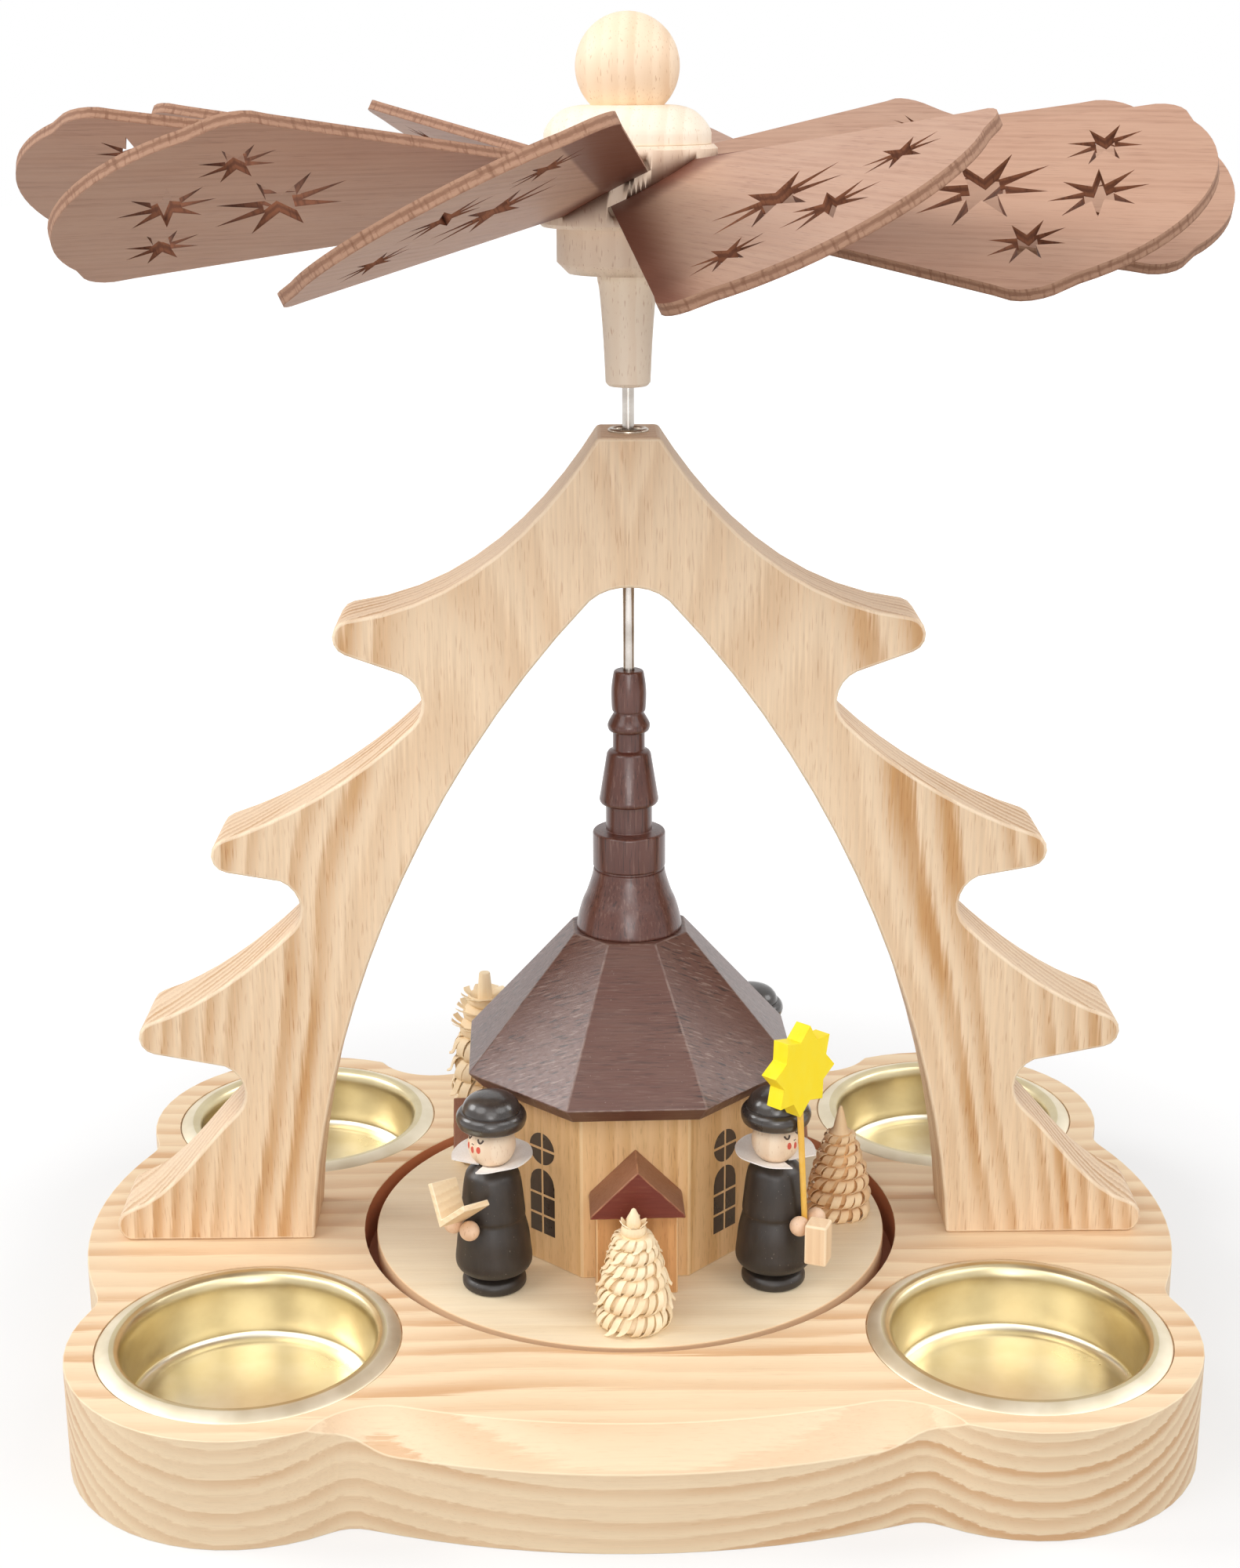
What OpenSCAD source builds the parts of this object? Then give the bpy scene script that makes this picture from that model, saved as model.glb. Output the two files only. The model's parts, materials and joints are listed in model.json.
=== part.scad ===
// Candle carousel: lobed base, fir-shaped arch, turning church scene and a bladed wing wheel.
// Millimetres, +Z up, origin at the centre of the base underside, front towards -Y.

/* [Base board] */
// thickness of the base board
base_h = 19.3; // [17:0.1:30]
// length over the two side bulges
base_len = 195; // [188:0.5:215]
// depth over the front and back bulges
base_depth = 150.6; // [146:0.2:165]
// arc radius of each side bulge
side_bulge_r = 70; // [60:1:110]
// arc radius of the front and back bulges
front_bulge_r = 130; // [110:1:200]
// radius of the round corner lobes
lobe_r = 30; // [28:0.5:34]
// fillet radius in the valleys between lobes and bulges
valley_r = 7; // [3:0.5:12]
// width of the chamfer along the front and back bulges
chamfer_w = 6; // [2:0.5:8]
// height of the chamfer on the wall
chamfer_h = 5.3; // [2:0.1:8]
// half length of the chamfered run
chamfer_half = 38; // [20:1:42]

/* [Candle cups] */
// spacing of the cups along X
cup_pitch_x = 127.2; // [124:0.2:140]
// spacing of the cups along Y
cup_pitch_y = 86.4; // [84:0.2:100]
// outer radius of the cup rim
cup_rim_r = 25; // [24:0.1:27]
// inner radius of the cup, the seat of a tea light
cup_in_r = 20.5; // [19.5:0.1:21.5]
// depth of the cup below the top of the base
cup_depth = 11; // [7:0.5:13]
// sheet thickness of the cup
cup_wall = 0.7; // [0.4:0.1:1.2]
// height of the rounded rim above the base
cup_lip = 0.9; // [0.5:0.1:2]
// depth of the rim seat in the base
rim_seat = 0.5; // [0.2:0.1:1.5]
// play between a cup and its hole in the base
cup_play = 0.25; // [0.1:0.05:0.6]
// slanted corner between the cup's wall and floor
cup_foot = 1.1; // [0.9:0.1:2]

/* [Arch] */
// height of the arch above the base
arch_h = 143.25; // [136:0.25:165]
// width over the lowest boughs
arch_w = 183.4; // [176:0.2:188]
// board thickness of the arch
arch_t = 16.3; // [12:0.1:20]
// width of the opening at the base
arch_open_w = 113.4; // [110:0.2:117]
// height of the opening
arch_open_h = 118.45; // [112:0.05:124]
// width of the flat top
arch_top_w = 10.2; // [9:0.2:14]
// radius of the bough tips
tip_r = 3.1; // [2:0.1:3.6]
// radius of the notches between boughs
notch_r = 5.5; // [4:0.1:6.5]
// radius of the dowels under the legs
dowel_r = 4; // [2.5:0.1:5]
// length of each dowel
dowel_len = 20; // [12:1:24]

/* [Turntable] */
// radius of the turntable disc
table_r = 46; // [45.5:0.1:46.6]
// running gap round the disc
table_gap = 2.2; // [0.6:0.1:3]
// thickness of the disc
table_t = 4; // [2.5:0.1:5]
// drop of the disc below the top of the base
table_drop = 0.5; // [0.2:0.1:1.5]
// gap under the disc
table_under = 3; // [1:0.1:4]

/* [Spindle] */
// radius of the steel spindle
rod_r = 1; // [0.8:0.05:1.3]
// radius of the bearing cup in the base
bearing_r = 4; // [3:0.1:6]
// height of the bearing cup
bearing_h = 5; // [3:0.1:6]
// inner radius of the guide bush in the arch top
bush_in_r = 2.3; // [1.9:0.1:2.5]
// wall thickness of the guide bush
bush_wall = 0.4; // [0.3:0.05:0.6]
// length of the guide bush
bush_len = 8; // [4:0.5:15]
// flange radius of the guide bush
bush_flange_r = 3.4; // [3.2:0.1:4.2]

/* [Church] */
// distance from the axis to each church wall
wall_a = 22.5; // [21:0.1:23]
// height of the church walls
wall_h = 31.3; // [30:0.1:33]
// distance from the axis to the eaves
eave_a = 28.5; // [27:0.1:28.8]
// height of the eaves board
eave_h = 3; // [2:0.1:4]
// height of the roof above the eaves
roof_h = 22.7; // [18:0.1:26]
// distance from the axis to the roof flats at the top
roof_top_a = 9.8; // [9.5:0.1:13]
// height of the turned spire
spire_h = 46.1; // [40:0.1:48]
// radius of the bell at the foot of the spire
bell_r = 9.2; // [8.6:0.1:9.5]
// turn of the church on its table in degrees
church_turn = 1.5; // [0:0.5:4]

/* [Porches] */
// width of a porch
porch_w = 14; // [12:0.1:15]
// front of a porch from the axis
porch_reach = 28.3; // [26:0.1:29]
// height of a porch up to its roof
porch_h = 15.9; // [14:0.1:18]
// width of a porch roof
gable_w = 16.2; // [15.2:0.1:17]
// front of a porch roof from the axis
gable_reach = 31.6; // [29.2:0.1:32]
// height of a porch roof
gable_h = 8.6; // [6:0.1:9]

/* [Figures] */
// distance of the singers from the axis
singer_orbit = 33.7; // [33.6:0.1:36]
// height of a singer's body
singer_body_h = 22.9; // [21:0.1:24]
// radius of the hem
hem_r = 6.6; // [6:0.1:6.8]
// radius of the coat at its waist
waist_r = 5.4; // [5:0.1:5.8]
// radius of the foot disc
foot_r = 5.5; // [4.8:0.1:6]
// radius of the head
head_r = 4.1; // [3.7:0.1:4.3]
// radius of the hat brim
hat_r = 6; // [5.4:0.1:6.1]
// height of the hat
hat_h = 6.1; // [5:0.1:7]
// radius of the paper collar
collar_r = 6.9; // [6:0.1:7.2]
// half width of the collar's split at its edge
split_half = 3.4; // [2:0.1:4.4]
// radius of the hands
hand_r = 1.7; // [1.3:0.1:1.9]
// height of the hands above the turntable
hand_z = 13.4; // [12:0.1:14.4]
// length of a song book leaf along the fold
book_l = 5.7; // [4.5:0.1:6.5]
// width of a song book leaf
book_w = 7.5; // [5.5:0.1:7.8]
// rise of the song book leaves in degrees
leaf_rise = 50; // [40:1:60]
// thickness of a song book leaf
book_t = 1; // [0.6:0.1:1.4]
// height of the star's centre above the turntable
star_z = 42.2; // [39:0.1:44]
// point radius of the star
star_r = 8; // [6:0.1:8.5]
// thickness of the star
star_t = 3; // [2:0.1:3.2]
// turn of the star on its pole in degrees
star_turn = 13; // [0:1:15]
// lean of the star pole in degrees
pole_lean = 5; // [0:1:8]
// radius of the star pole
pole_r = 0.55; // [0.4:0.05:0.8]
// side of the lantern
lantern_w = 3.8; // [3:0.1:4.4]
// height of the lantern
lantern_h = 7.2; // [5:0.1:7.6]

/* [Trees] */
// distance of the front tree from the axis
tree_orbit = 37.4; // [37.2:0.1:38.6]
// height of the two small trees
tree_h = 21; // [17:0.5:23]
// height of the tall tree
tall_tree_h = 38; // [32:0.5:40]
// radius of the lowest ring of curls
tree_r = 6.5; // [5.5:0.1:6.6]
// gap between two curls
curl_t = 0.4; // [0.3:0.05:0.6]
// curls in a ring
curl_n = 10; // [8:1:12]

/* [Wing wheel] */
// height of the blade line above the base
wing_z = 182.6; // [178:0.1:205]
// radius over the blades
wing_r = 97; // [90:0.2:105]
// pitch of the blades in degrees
wing_pitch = 27; // [22:0.5:32]
// half width of a blade at its widest
blade_half = 26; // [22:0.5:27]
// thickness of a blade
blade_t = 1.8; // [1.2:0.1:2]
// radius of the hub
hub_r = 14.4; // [14:0.1:17]
// height of the hub
hub_h = 12.7; // [12:0.1:16]
// radius of the collar under the hub
hub_collar_r = 11.5; // [9:0.1:13]
// height of the collar under the hub
hub_collar_h = 7.4; // [4:0.1:8]
// height of the turned post under the collar
post_h = 18.2; // [14:0.1:22]
// radius at the foot of the post
post_foot_r = 3.7; // [2.6:0.05:4]
// radius at the head of the post
post_head_r = 5; // [4.2:0.1:6]
// radius of the hub cap
cap_r = 13.4; // [11:0.1:14]
// height of the hub cap
cap_h = 6; // [5:0.1:8]
// radius of the ball on top
ball_r = 8.3; // [6:0.1:9]
// upward travel that takes the wing wheel off the spindle
lift_travel = 40; // [38:1:60]

/* [Fits] */
// play of glued joints
glue_gap = 0.02; // [0.01:0.01:0.05]
// radial running play of the wing wheel on the spindle
run_gap = 0.05; // [0.03:0.01:0.08]

/* [Hidden] */
blade_count = 10;
blade_step = 360 / blade_count;
cup_x = cup_pitch_x / 2;
cup_y = cup_pitch_y / 2;
cup_out_r = cup_in_r + cup_wall;
pocket_r = cup_out_r + cup_play;
recess_r = table_r + table_gap;
recess_depth = table_drop + table_t + table_under;
deck = base_h - table_drop;
floor_z = base_h - recess_depth;
side_c = [base_len / 2 - side_bulge_r, 0];
front_c = [0, front_bulge_r - base_depth / 2];
bush_out_r = bush_in_r + bush_wall;
arch_top = base_h + arch_h;
bush_lip = 0.5;
tip_z = floor_z - bearing_h + 2.2;
wall_top = deck + wall_h;
eave_z = wall_top + eave_h;
roof_top = eave_z + roof_h;
spire_top = roof_top + spire_h;
wing_line = base_h + wing_z;
hub_z0 = wing_line - hub_h / 2;
hub_z1 = hub_z0 + hub_h;
collar_z0 = hub_z0 - hub_collar_h;
post_z0 = collar_z0 - post_h;
rod_top = hub_z1 - run_gap;
bore_r = rod_r + run_gap;
rod_hole_r = rod_r + glue_gap;
root_u = 11;
widest_u = wing_r - 16.8;
side_slope = (blade_half - 7.9) / (widest_u - 14);
end_r = 27.2;
neck_z = singer_body_h;
head_z = neck_z + 3.6;
brim_z = neck_z + 6.8;
coat_k = singer_body_h / 22.9;
coat_pts = [
  [hem_r - 0.9, 3.5 * coat_k], [hem_r - 0.15, 4.4 * coat_k], [hem_r, 5.6 * coat_k],
  [hem_r - 0.2, 7.5 * coat_k], [(hem_r + waist_r) / 2 + 0.1, 10.2 * coat_k],
  [waist_r, 13.2 * coat_k], [waist_r + 0.12, 13.8 * coat_k], [waist_r, 15.2 * coat_k],
  [waist_r - 0.3, 18.2 * coat_k], [4.8, 20.2 * coat_k], [4.4, 21.4 * coat_k],
  [3.2, 22.6 * coat_k]
];
coat_table = [for (p = coat_pts) [p[1], p[0]]];
hand_f = lookup(hand_z - 0.5, coat_table) + hand_r + 0.12;
pole_f = max(lookup(hand_z, coat_table), hat_r) + pole_r + 0.06;
grip_s = sqrt(pow(hand_r + pole_r + 0.05, 2) - pow(hand_f - pole_f, 2));
reader_a = -135;
bearer_a = -43.5;
chorister_a = 46;
dowel_xs = [64, 78];
$fn = 64;

// outline helpers
function arc_pts(c, r, a0, a1, n) = [
  for (i = [0:n])
    let (a = a0 + (a1 - a0) * i / n) c + r * [cos(a), sin(a)]
];
function arc_next(c, r, a0, a1, n) = [for (i = [1:n]) arc_pts(c, r, a0, a1, n)[i]];
function bez(a, b, c, d, n) = [
  for (i = [1:n - 1])
    let (t = i / n, s = 1 - t)
      s * s * s * a + 3 * s * s * t * b + 3 * s * t * t * c + t * t * t * d
];
function star_pts(r, inner, n) = [
  for (i = [0:2 * n - 1])
    (i % 2 == 0 ? r : inner) * [cos(180 * i / n), sin(180 * i / n)]
];
// centre of the circle that touches two others from outside
function touch(c1, r1, c2, r2, side) =
  let (
    d = norm(c2 - c1),
    e = (c2 - c1) / d,
    a = (r1 * r1 - r2 * r2 + d * d) / (2 * d),
    h = sqrt(r1 * r1 - a * a)
  ) c1 + a * e + side * h * [-e[1], e[0]];

// plan of the base board: one quarter from the middle of the front to the middle of the right side
function dir_of(v) = atan2(v[1], v[0]);
function quarter_pts() =
  let (
    lobe = [cup_x, -cup_y],
    f1 = touch(lobe, lobe_r + valley_r, front_c, front_bulge_r + valley_r, 1),
    f2 = touch(lobe, lobe_r + valley_r, side_c, side_bulge_r + valley_r, -1)
  )
    concat(
      arc_pts(front_c, front_bulge_r, -90, dir_of(f1 - front_c), 8),
      arc_next(f1, valley_r, dir_of(front_c - f1), dir_of(lobe - f1), 4),
      arc_next(lobe, lobe_r, dir_of(f1 - lobe), dir_of(f2 - lobe), 20),
      arc_next(f2, valley_r, (dir_of(lobe - f2) + 360) % 360, dir_of(side_c - f2), 4),
      arc_next(side_c, side_bulge_r, dir_of(f2 - side_c), 0, 7)
    );

module base_outline() {
  q = quarter_pts();
  m = len(q) - 1;
  polygon(concat(
    q,
    [for (i = [m - 1:-1:0]) [q[i][0], -q[i][1]]],
    [for (i = [1:m]) [-q[i][0], -q[i][1]]],
    [for (i = [m - 1:-1:1]) [-q[i][0], q[i][1]]]
  ));
}

// chamfer along one bulge, with the run-out of a round cutter at both ends
module chamfer_cut() {
  half = asin(chamfer_half / front_bulge_r);
  bit = 6.4;
  translate([front_c[0], front_c[1], 0]) {
    rotate([0, 0, -90 - half]) rotate_extrude(angle = 2 * half, $fn = 180)
      polygon([
        [front_bulge_r - 1.2 * chamfer_w, base_h + 0.2 * chamfer_h],
        [front_bulge_r + 0.5 * chamfer_w, base_h - 1.5 * chamfer_h],
        [front_bulge_r + 0.5 * chamfer_w, base_h + 0.2 * chamfer_h]
      ]);
    for (s = [-1, 1])
      rotate([0, 0, -90 + s * half])
        translate([front_bulge_r + bit, 0, base_h - chamfer_h])
          cylinder(h = 1.2 * chamfer_h, r1 = bit, r2 = bit + 1.2 * chamfer_w);
  }
}

module base_plate() {
  color([0.87, 0.73, 0.52]) difference() {
    linear_extrude(height = base_h) base_outline();
    for (sx = [-1, 1]) for (sy = [-1, 1]) translate([sx * cup_x, sy * cup_y, 0]) {
      translate([0, 0, -1]) cylinder(h = base_h + 2, r = pocket_r);
      translate([0, 0, base_h - rim_seat]) cylinder(h = 2, r = cup_rim_r + cup_play);
    }
    translate([0, 0, floor_z]) cylinder(h = recess_depth + 1, r = recess_r, $fn = 128);
    translate([0, 0, floor_z - bearing_h]) cylinder(h = bearing_h + 1, r = bearing_r + glue_gap);
    for (sx = [-1, 1]) for (x = dowel_xs)
      translate([sx * x, 0, base_h - dowel_len / 2 - glue_gap])
        cylinder(h = dowel_len, r = dowel_r + glue_gap);
    chamfer_cut();
    mirror([0, 1, 0]) chamfer_cut();
  }
}

// fir-shaped arch: boughs with round tips, hollow upper sides and round notches
sx_a = arch_w / 183.4;
sz_a = arch_h / 143.25;
tips = [for (p = [[46.3, 110.2], [68.4, 72.3], [82.7, 38.9], [88.6, 2.9]]) [p[0] * sx_a, p[1] * sz_a]];
notches = [for (p = [[40.3, 98.9], [62.1, 62.6], [73.3, 28.4]]) [p[0] * sx_a, p[1] * sz_a]];
function on_c(c, r, a) = c + r * [cos(a), sin(a)];
function bough_top(a, ta, b, tb) =
  let (l = norm(b - a))
    bez(a, a + 0.34 * l * [-sin(ta), cos(ta)], b - 0.3 * l * [sin(tb), -cos(tb)], b, 8);
function bough(k) =
  let (a = on_c(notches[k], notch_r, 226), b = on_c(tips[k + 1], tip_r, 72))
    concat(
      arc_pts(notches[k], notch_r, 114, 226, 7),
      bough_top(a, 226, b, 72),
      arc_pts(tips[k + 1], tip_r, 72, k < 2 ? -80 : -asin(min(1, tips[3][1] / tip_r)), 6)
    );
half_open = arch_open_w / 2;
function opening() =
  concat(
    [[half_open, 0]],
    bez(
      [half_open, 0], [0.961 * half_open, 0.321 * arch_open_h],
      [0.653 * half_open, 0.709 * arch_open_h], [0.116 * half_open, 0.981 * arch_open_h], 16
    ),
    [[0.116 * half_open, 0.981 * arch_open_h]],
    bez(
      [0.116 * half_open, 0.981 * arch_open_h], [0.078 * half_open, 0.997 * arch_open_h],
      [0.035 * half_open, arch_open_h], [0, arch_open_h], 4
    ),
    [[0, arch_open_h]]
  );
function arch_half() =
  let (top_c = [arch_top_w / 2, arch_h], b = on_c(tips[0], tip_r, 78))
    concat(
      [[0, arch_h], top_c],
      bez(top_c, [13.5 * sx_a, 130 * sz_a], [27 * sx_a, 115.5 * sz_a], b, 10),
      arc_pts(tips[0], tip_r, 78, -70, 6),
      bough(0), bough(1), bough(2),
      opening()
    );

module tree_arch() {
  half = arch_half();
  color([0.88, 0.75, 0.55]) difference() {
    translate([0, arch_t / 2, base_h]) rotate([90, 0, 0]) linear_extrude(height = arch_t)
      polygon(concat(half, [for (i = [len(half) - 2:-1:1]) [-half[i][0], half[i][1]]]));
    translate([0, 0, base_h + arch_open_h - 2]) cylinder(h = arch_h, r = bush_out_r + glue_gap);
    for (sx = [-1, 1]) for (x = dowel_xs)
      translate([sx * x, 0, base_h - 1]) cylinder(h = dowel_len / 2 + 1 + glue_gap, r = dowel_r + glue_gap);
  }
}

module arch_dowels() {
  color([0.82, 0.66, 0.44]) for (sx = [-1, 1]) for (x = dowel_xs)
    translate([sx * x, 0, base_h - dowel_len / 2]) cylinder(h = dowel_len, r = dowel_r);
}

// eyelet that guides the spindle through the arch top
module guide_bush() {
  color([0.78, 0.78, 0.78]) rotate_extrude() polygon([
    [bush_in_r, arch_top - bush_len],
    [bush_out_r, arch_top - bush_len],
    [bush_out_r, arch_top],
    [bush_flange_r, arch_top],
    [bush_flange_r - 0.1, arch_top + bush_lip * 0.7],
    [bush_flange_r - 0.5, arch_top + bush_lip],
    [bush_in_r + 0.2, arch_top + bush_lip],
    [bush_in_r, arch_top + bush_lip * 0.5]
  ]);
}

// hard seat with a dimple for the needle point
module bearing_cup() {
  seat = floor_z - bearing_h;
  color([0.7, 0.72, 0.75]) difference() {
    translate([0, 0, seat]) cylinder(h = bearing_h + 0.6, r = bearing_r);
    translate([0, 0, tip_z - run_gap]) cylinder(h = bearing_h, r1 = 0.35, r2 = 0.35 + bearing_h * 0.62);
  }
}

// pressed candle cup that hangs by its rolled rim in a drilled hole
module candle_cup(sx, sy) {
  z0 = base_h - cup_depth;
  crest = base_h + cup_lip;
  mid = (cup_in_r + cup_rim_r) / 2;
  half = (cup_rim_r - cup_in_r) / 2;
  rise = crest - base_h + rim_seat;
  color([0.80, 0.70, 0.45]) translate([sx * cup_x, sy * cup_y, 0]) rotate_extrude($fn = 96) polygon(concat(
    [
      [0, z0 - cup_wall], [cup_out_r - cup_foot, z0 - cup_wall], [cup_out_r, z0 - cup_wall + cup_foot],
      [cup_out_r, base_h - rim_seat], [cup_rim_r, base_h - rim_seat]
    ],
    [for (i = [1:9]) [mid + half * cos(18 * i), base_h - rim_seat + rise * sin(18 * i)]],
    [
      [cup_in_r, base_h - rim_seat], [cup_in_r, z0 + cup_foot], [cup_in_r - cup_foot, z0], [0, z0]
    ]
  ));
}

module cup_front_left() { candle_cup(-1, -1); }
module cup_front_right() { candle_cup(1, -1); }
module cup_back_left() { candle_cup(-1, 1); }
module cup_back_right() { candle_cup(1, 1); }

// steel spindle with a needle point
module spindle_rod() {
  color([0.75, 0.76, 0.78]) rotate_extrude($fn = 48) polygon([
    [0, tip_z], [0.25, tip_z], [rod_r, tip_z + 2.6],
    [rod_r, rod_top - 0.3], [rod_r - 0.3, rod_top], [0, rod_top]
  ]);
}

module rod_hole() {
  translate([0, 0, -1]) cylinder(h = 300, r = rod_hole_r, $fn = 48);
}

module turntable() {
  color([0.90, 0.78, 0.60]) difference() {
    translate([0, 0, deck - table_t]) cylinder(h = table_t, r = table_r, $fn = 128);
    rod_hole();
  }
}

module church_body() {
  color([0.85, 0.68, 0.45]) difference() {
    translate([0, 0, deck]) rotate([0, 0, church_turn]) intersection() {
      translate([-wall_a, -wall_a, 0]) cube([2 * wall_a, 2 * wall_a, wall_h]);
      rotate([0, 0, 45]) translate([-wall_a, -wall_a, 0]) cube([2 * wall_a, 2 * wall_a, wall_h]);
    }
    rod_hole();
  }
}

module roof_slice(a) {
  inner = eave_a - 0.85 * eave_h;
  rotate([90, 0, a]) linear_extrude(height = 80, center = true) polygon([
    [-inner, wall_top], [inner, wall_top], [eave_a, eave_z], [roof_top_a, roof_top],
    [-roof_top_a, roof_top], [-eave_a, eave_z]
  ]);
}

module church_roof() {
  color([0.36, 0.20, 0.15]) difference() {
    intersection() {
      roof_slice(church_turn);
      roof_slice(church_turn + 45);
      roof_slice(church_turn + 90);
      roof_slice(church_turn + 135);
    }
    rod_hole();
  }
}

// turned spire: bell, drum, lantern and knob
module church_spire() {
  k = spire_h / 46.1;
  b = bell_r / 9.2;
  color([0.34, 0.19, 0.14]) translate([0, 0, roof_top]) rotate_extrude() polygon([
    [rod_hole_r, 0], [bell_r, 0], [bell_r, 0.6 * k], [8.95 * b, 1.8 * k], [8.6 * b, 3.2 * k],
    [8.1 * b, 4.8 * k], [7.4 * b, 6.4 * k], [6.8 * b, 8.2 * k], [6.4 * b, 9.6 * k], [6.2 * b, 10.7 * k],
    [5.9 * b, 10.8 * k], [5.9 * b, 11.2 * k], [6.3 * b, 11.3 * k], [6.3 * b, 17.3 * k],
    [6.05 * b, 17.6 * k], [4.0, 17.7 * k], [4.0, 22.4 * k],
    [4.8, 22.6 * k], [5.1, 23.2 * k], [5.0, 24.0 * k], [3.8, 31.4 * k], [3.5, 31.9 * k], [2.75, 32.2 * k],
    [2.75, 35.3 * k], [3.4, 35.6 * k], [3.65, 36.4 * k], [3.4, 37.2 * k], [2.6, 38.6 * k], [2.6, 38.9 * k],
    [2.9, 39.4 * k], [3.0, 42.6 * k], [2.6, 45.6 * k], [2.2, 46.1 * k], [rod_hole_r, 46.1 * k]
  ]);
}

// porch block and its gable roof on one side of the church
module porch_at(a) {
  color([0.66, 0.42, 0.24]) rotate([0, 0, a + church_turn])
    translate([-porch_w / 2, -porch_reach, deck]) cube([porch_w, porch_reach - wall_a, porch_h]);
}

module gable_at(a) {
  color([0.40, 0.18, 0.13]) rotate([0, 0, a + church_turn])
    translate([0, -wall_a, deck + porch_h]) rotate([90, 0, 0]) linear_extrude(height = gable_reach - wall_a)
      polygon([
        [-gable_w / 2, 0], [gable_w / 2, 0], [gable_w / 2 - 0.3, 0.8], [0, gable_h], [0.3 - gable_w / 2, 0.8]
      ]);
}

module porch_front() { porch_at(0); }
module porch_left() { porch_at(-90); }
module porch_right() { porch_at(90); }
module porch_back() { porch_at(180); }
module gable_front() { gable_at(0); }
module gable_left() { gable_at(-90); }
module gable_right() { gable_at(90); }
module gable_back() { gable_at(180); }

// place of a singer on the turntable, local +X facing out from the church
module stand_at(a) {
  rotate([0, 0, a]) translate([singer_orbit, 0, deck]) children();
}

module singer_body() {
  color([0.07, 0.07, 0.07]) rotate_extrude() polygon(concat(
    [[0, 0], [foot_r - 0.5, 0], [foot_r, 0.5], [foot_r, 1.5], [foot_r - 0.5, 2.2], [4.1, 2.6], [4.0, 2.9]],
    coat_pts,
    [[2.6, neck_z], [0, neck_z]]
  ));
}

module singer_head() {
  color([0.90, 0.74, 0.57]) intersection() {
    translate([0, 0, head_z]) sphere(r = head_r);
    translate([-6, -6, neck_z]) cube([12, 12, brim_z - neck_z]);
  }
}

// beret with a thick rolled brim
module singer_hat() {
  k = hat_h / 6.1;
  color([0.06, 0.06, 0.06]) translate([0, 0, brim_z]) rotate_extrude() polygon([
    [0, 0], [hat_r - 1.1, 0], [hat_r - 0.4, 0.4 * k], [hat_r - 0.1, 1.1 * k], [hat_r, 1.8 * k],
    [hat_r - 0.2, 2.5 * k], [hat_r - 0.65, 3.0 * k], [hat_r - 1.05, 3.1 * k], [hat_r - 1.1, 3.5 * k],
    [hat_r - 1.5, 4.4 * k], [hat_r - 2.4, 5.3 * k], [hat_r - 3.9, 5.9 * k], [0, 6.1 * k]
  ]);
}

// paper collar rising outwards, with a split at the front that widens to the edge
module singer_collar() {
  reach = sqrt(collar_r * collar_r - split_half * split_half);
  color([0.95, 0.95, 0.96]) difference() {
    rotate_extrude() polygon([
      [3, neck_z + 0.06], [collar_r, neck_z + 1.5], [collar_r, neck_z + 1.9], [3, neck_z + 0.46]
    ]);
    translate([0, 0, neck_z - 1]) linear_extrude(height = 4) polygon([
      [0, -0.75], [2.6, -0.75], [reach, -split_half], [collar_r + 1, -split_half],
      [collar_r + 1, split_half], [reach, split_half], [2.6, 0.75], [0, 0.75]
    ]);
  }
}

module singer_hands(f, s) {
  color([0.90, 0.72, 0.54]) for (m = [-1, 1]) translate([f, m * s, hand_z]) sphere(r = hand_r);
}

// open song book: a V of two leaves lying on the hands, the fold running out from the singer
module song_book() {
  along = book_w * [cos(leaf_rise), sin(leaf_rise)];
  up = book_t * [-sin(leaf_rise), cos(leaf_rise)];
  color([0.90, 0.80, 0.62]) translate([hem_r, 0, hand_z + 0.55 * hand_r])
    rotate([0, -8, 0]) rotate([-10, 0, 0]) rotate([90, 0, 90])
      linear_extrude(height = book_l) polygon([
        [0, 0], along, along + up, [0, book_t / cos(leaf_rise)],
        [-along[0] - up[0], along[1] + up[1]], [-along[0], along[1]]
      ]);
}

module reader_body() { stand_at(reader_a) singer_body(); }
module reader_head() { stand_at(reader_a) singer_head(); }
module reader_hat() { stand_at(reader_a) singer_hat(); }
module reader_collar() { stand_at(reader_a) singer_collar(); }
module reader_hands() { stand_at(reader_a) singer_hands(hand_f, hand_r + 0.3); }
module reader_book() { stand_at(reader_a) song_book(); }

module bearer_body() { stand_at(bearer_a) singer_body(); }
module bearer_head() { stand_at(bearer_a) singer_head(); }
module bearer_hat() { stand_at(bearer_a) singer_hat(); }
module bearer_collar() { stand_at(bearer_a) singer_collar(); }
module bearer_hands() { stand_at(bearer_a) singer_hands(hand_f, grip_s); }
// lantern that one of its sides holds to the near hand
module bearer_lantern() {
  turn = 22;
  half = lantern_w / 2;
  aside = 0.2;
  reach = (half + hand_r + 0.05 - aside * sin(turn)) / cos(turn);
  color([0.90, 0.80, 0.64]) stand_at(bearer_a)
    translate([hand_f + reach, aside - grip_s, hand_z + 2 - lantern_h]) rotate([0, 0, turn])
      translate([-half, -half, 0]) cube([lantern_w, lantern_w, lantern_h]);
}
// leans the pole and its star about the grip of the hands
module leaning() {
  translate([pole_f, 0, hand_z]) rotate([pole_lean, 0, 0]) translate([-pole_f, 0, -hand_z]) children();
}
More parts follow.
